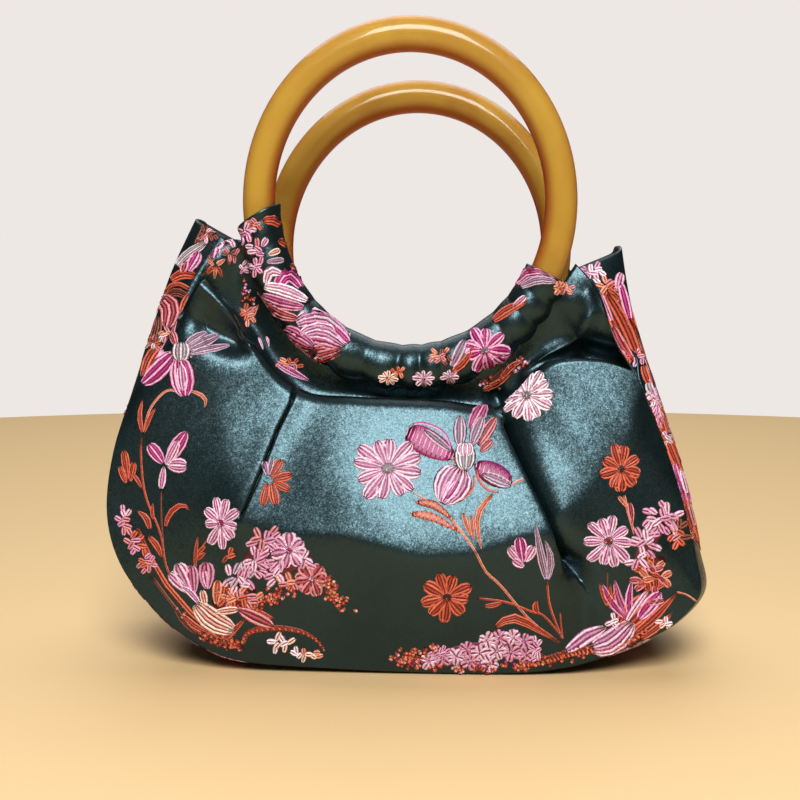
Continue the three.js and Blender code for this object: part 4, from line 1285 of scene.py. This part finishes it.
SLEEVE_FLOWERS = [
    *cluster(246, 232, 8, 10, 9, ["magenta", "pink", "blush"], 61),
    *cluster(256, 249, 7, 9, 9, ["pink", "blush", "rose"], 62),
    *cluster(256, 266, 8, 8, 8, ["magenta", "blush", "pink"], 63),
    *cluster(255, 224, 7, 5, 7, ["rose", "rust"], 64),
    *petal((268, 255), (280, 250), 8, "cream", 3),
    *petal((262, 247), (267, 238), 8, "blush", 3),
    *leaf([(262, 221), (276, 221), (291, 236)], 12, "rust", 4),
    *leaf([(278, 240), (287, 244), (296, 251)], 10, "rust", 4),
    *leaf([(290, 265), (296, 267), (303, 271)], 8),
    *petal((266, 262), (284, 260), 8, "mauve", 3),
    *pad([(278, 291), (282, 278), (292, 275), (302, 288)], 18, "magenta", 5, 1, 0.45),
    *pad([(266, 284), (270, 272), (281, 274)], 12, "white", 3, 1, 0.5, 0.2),
    *pad([(263, 286), (284, 290), (308, 301)], 14, "white", 4, 1, 0.5, 0.2),
    *pad([(261, 295), (280, 303), (305, 308)], 14, "pink", 4, 1, 0.5, 0.15),
    *pad([(263, 302), (280, 314), (299, 319)], 12, "rose", 4, 1, 0.5),
    *pad([(300, 342), (320, 341), (340, 348)], 16, "pink", 4, 1, 0.45),
    *pad([(294, 324), (311, 317), (330, 320), (349, 338)], 22, "blush", 5, 1, 0.45),
    *pad([(299, 336), (314, 330), (330, 333), (346, 346)], 19, "blush", 5, 1, 0.45, 0.2),
    *pad([(284, 328), (297, 336), (314, 347)], 17, "pink", 5, 1, 0.5, 0.25),
    *pad([(290, 342), (312, 352), (342, 347)], 17, "rose", 5, 1, 0.45, 0.1),
    *petal((332, 326), (349, 343), 11, "magenta", 3, lift=0.3),
    *pad([(292, 352), (314, 361), (340, 354)], 10, "rose", 3, 1, 0.45),
    *grains([(296, 352), (314, 360), (332, 354)], 5, 18, 5, ["rose", "white", "brown"], 69),
    *daisy(424, 379, 13, 9, 8, "blush", "magenta", 0, 65, 2),
    *daisy(388, 378, 12, 8, 8, "cream", "rust", 10, 66, 2),
    *daisy(450, 377, 11, 8, 7, "blush", "magenta", 5, 70, 2),
    *cluster(398, 372, 6, 5, 6, ["rust", "coral"], 67),
    *cluster(440, 356, 12, 7, 7, ["rose", "coral", "brown"], 71),
    *pad([(452, 368), (460, 354), (466, 340)], 16, "mauve", 4, 1.1, 0.45),
    *leaf([(452, 372), (464, 362), (474, 346)], 9, "rust", lift=0.2),
    *daisy(485, 350, 25, 24, 9, "magenta", "grey", 0, 72, 4),
    *leaf([(492, 322), (508, 310), (528, 301)], 12, "rust", 4),
    *petal((512, 308), (526, 296), 8, "blush", 3),
    *pad([(514, 284), (530, 270), (564, 274)], 16, "pink", 6, 1, 0.4),
    *pad([(520, 288), (538, 280), (556, 282)], 10, "mauve", 4, 1, 0.5, 0.15),
    *daisy(560, 288, 8, 8, 6, "coral", "rust", 0, 68, 2),
]


def sleeve_surface(side, u, v):
    """A tube round the ring's arc whose radius swells in gathers, strongest low on the outer side."""
    section = 2 * np.pi * v
    start, end = side["sleeve"]
    angle = np.radians(start + (end - start) * u + SLEEVE_SLANT * np.cos(section) * (1 - u) ** 6)
    phase = 2 * np.pi * SLEEVE_GATHERS * u + GATHER_SWAY * np.sin(2 * np.pi * SWAY_TURNS * u)
    low = np.exp(-(((u - GATHER_MIDDLE) / GATHER_SPREAD) ** 2))
    swell = 2 * np.abs(np.cos(phase / 2 + GATHER_TWIST * np.sin(section))) - 1
    fold = GATHER_HEIGHT * swell * (LEAST_GATHER + (1 - LEAST_GATHER) * low)
    radius = SLEEVE_RADIUS + fold * (EVEN_GATHER + (1 - EVEN_GATHER) * np.cos(section))
    return ring_point(side, angle, radius * np.cos(section), -radius * np.sin(section))


sleeve_u = np.linspace(0, 1, SLEEVE_GRID[0])[:, None]
sleeve_v = np.arange(SLEEVE_GRID[1])[None, :] / SLEEVE_GRID[1]
sleeve_groups = cushions(SLEEVE_FLOWERS)
sleeve_base = {name: sleeve_surface(side, sleeve_u, sleeve_v) for name, side in SIDES.items()}
sleeve_places = {"front": [find(sleeve_base["front"], group["spots"]) for group in sleeve_groups]}
sleeve_places["back"] = [(1 - u, 1 - v) for u, v in sleeve_places["front"]]
for name, points in sleeve_base.items():
    sleeve_cloth = add_cloth(f"{name}_casing_cloth", points, f"{name}_casing", True)
    sleeve_flowers = add_flowers(f"{name}_casing_flowers", sleeve_groups, sleeve_places[name], points)


# The stage
# A plain pale floor, a pale surround, one soft light above the camera and one wide light overhead.
FLOOR_RADIUS = 1150
FLOOR_STEPS = 96
FLOOR_COLOUR = linear(210, 179, 130)
SURROUND_COLOUR = linear(238, 232, 229)
SURROUND_LIGHT = 0.06
KEY_PLACE = (35, -850, 780)
KEY_TARGET = (0, -30, 90)
CEILING_PLACE = (0, 1000, 1500)
CEILING_SIDE = 2.0
CEILING_POWER = 32
KEY_SIDE = 0.45
KEY_POWER = 17.5

floor_material, tree, shader = new_material("floor")
shader.inputs["Base Color"].default_value = (*FLOOR_COLOUR, 1)
shader.inputs["Roughness"].default_value = 0.6
floor_turn = np.arange(FLOOR_STEPS) / FLOOR_STEPS * 2 * np.pi
floor_points = np.stack(
    [FLOOR_RADIUS * np.cos(floor_turn), FLOOR_RADIUS * np.sin(floor_turn), 0 * floor_turn], axis=-1
)
floor_mesh = bpy.data.meshes.new("floor")
floor_mesh.from_pydata((floor_points * MM).tolist(), [], [list(range(FLOOR_STEPS))])
floor_mesh.materials.append(floor_material)
floor = bpy.data.objects.new("floor", floor_mesh)
bpy.context.scene.collection.objects.link(floor)

world = bpy.data.worlds.new("surround")
world.use_nodes = True
bpy.context.scene.world = world
tree = world.node_tree
background = tree.nodes["Background"]
background.inputs["Color"].default_value = (*SURROUND_COLOUR, 1)
seen = node(tree, "ShaderNodeLightPath")
brightness = node(
    tree,
    "ShaderNodeMapRange",
    [("Value", seen.outputs["Is Camera Ray"])],
    [("To Min", SURROUND_LIGHT), ("To Max", 1.0)],
)
tree.links.new(brightness.outputs["Result"], background.inputs["Strength"])


def add_light(name, place, size, power):
    """A square light at its place, shining straight down until it is turned."""
    data = bpy.data.lights.new(name, "AREA")
    data.size = size
    data.energy = power
    light = bpy.data.objects.new(name, data)
    light.location = np.array(place) * MM
    bpy.context.scene.collection.objects.link(light)
    return light


key = add_light("key", KEY_PLACE, KEY_SIDE, KEY_POWER)
key_aim = np.array(KEY_TARGET, float) - np.array(KEY_PLACE, float)
key.rotation_euler = (
    math.atan2(math.hypot(key_aim[0], key_aim[1]), -key_aim[2]),
    0,
    math.atan2(key_aim[1], key_aim[0]) - math.pi / 2,
)
add_light("ceiling", CEILING_PLACE, CEILING_SIDE, CEILING_POWER)

bpy.context.scene.view_settings.view_transform = "Standard"
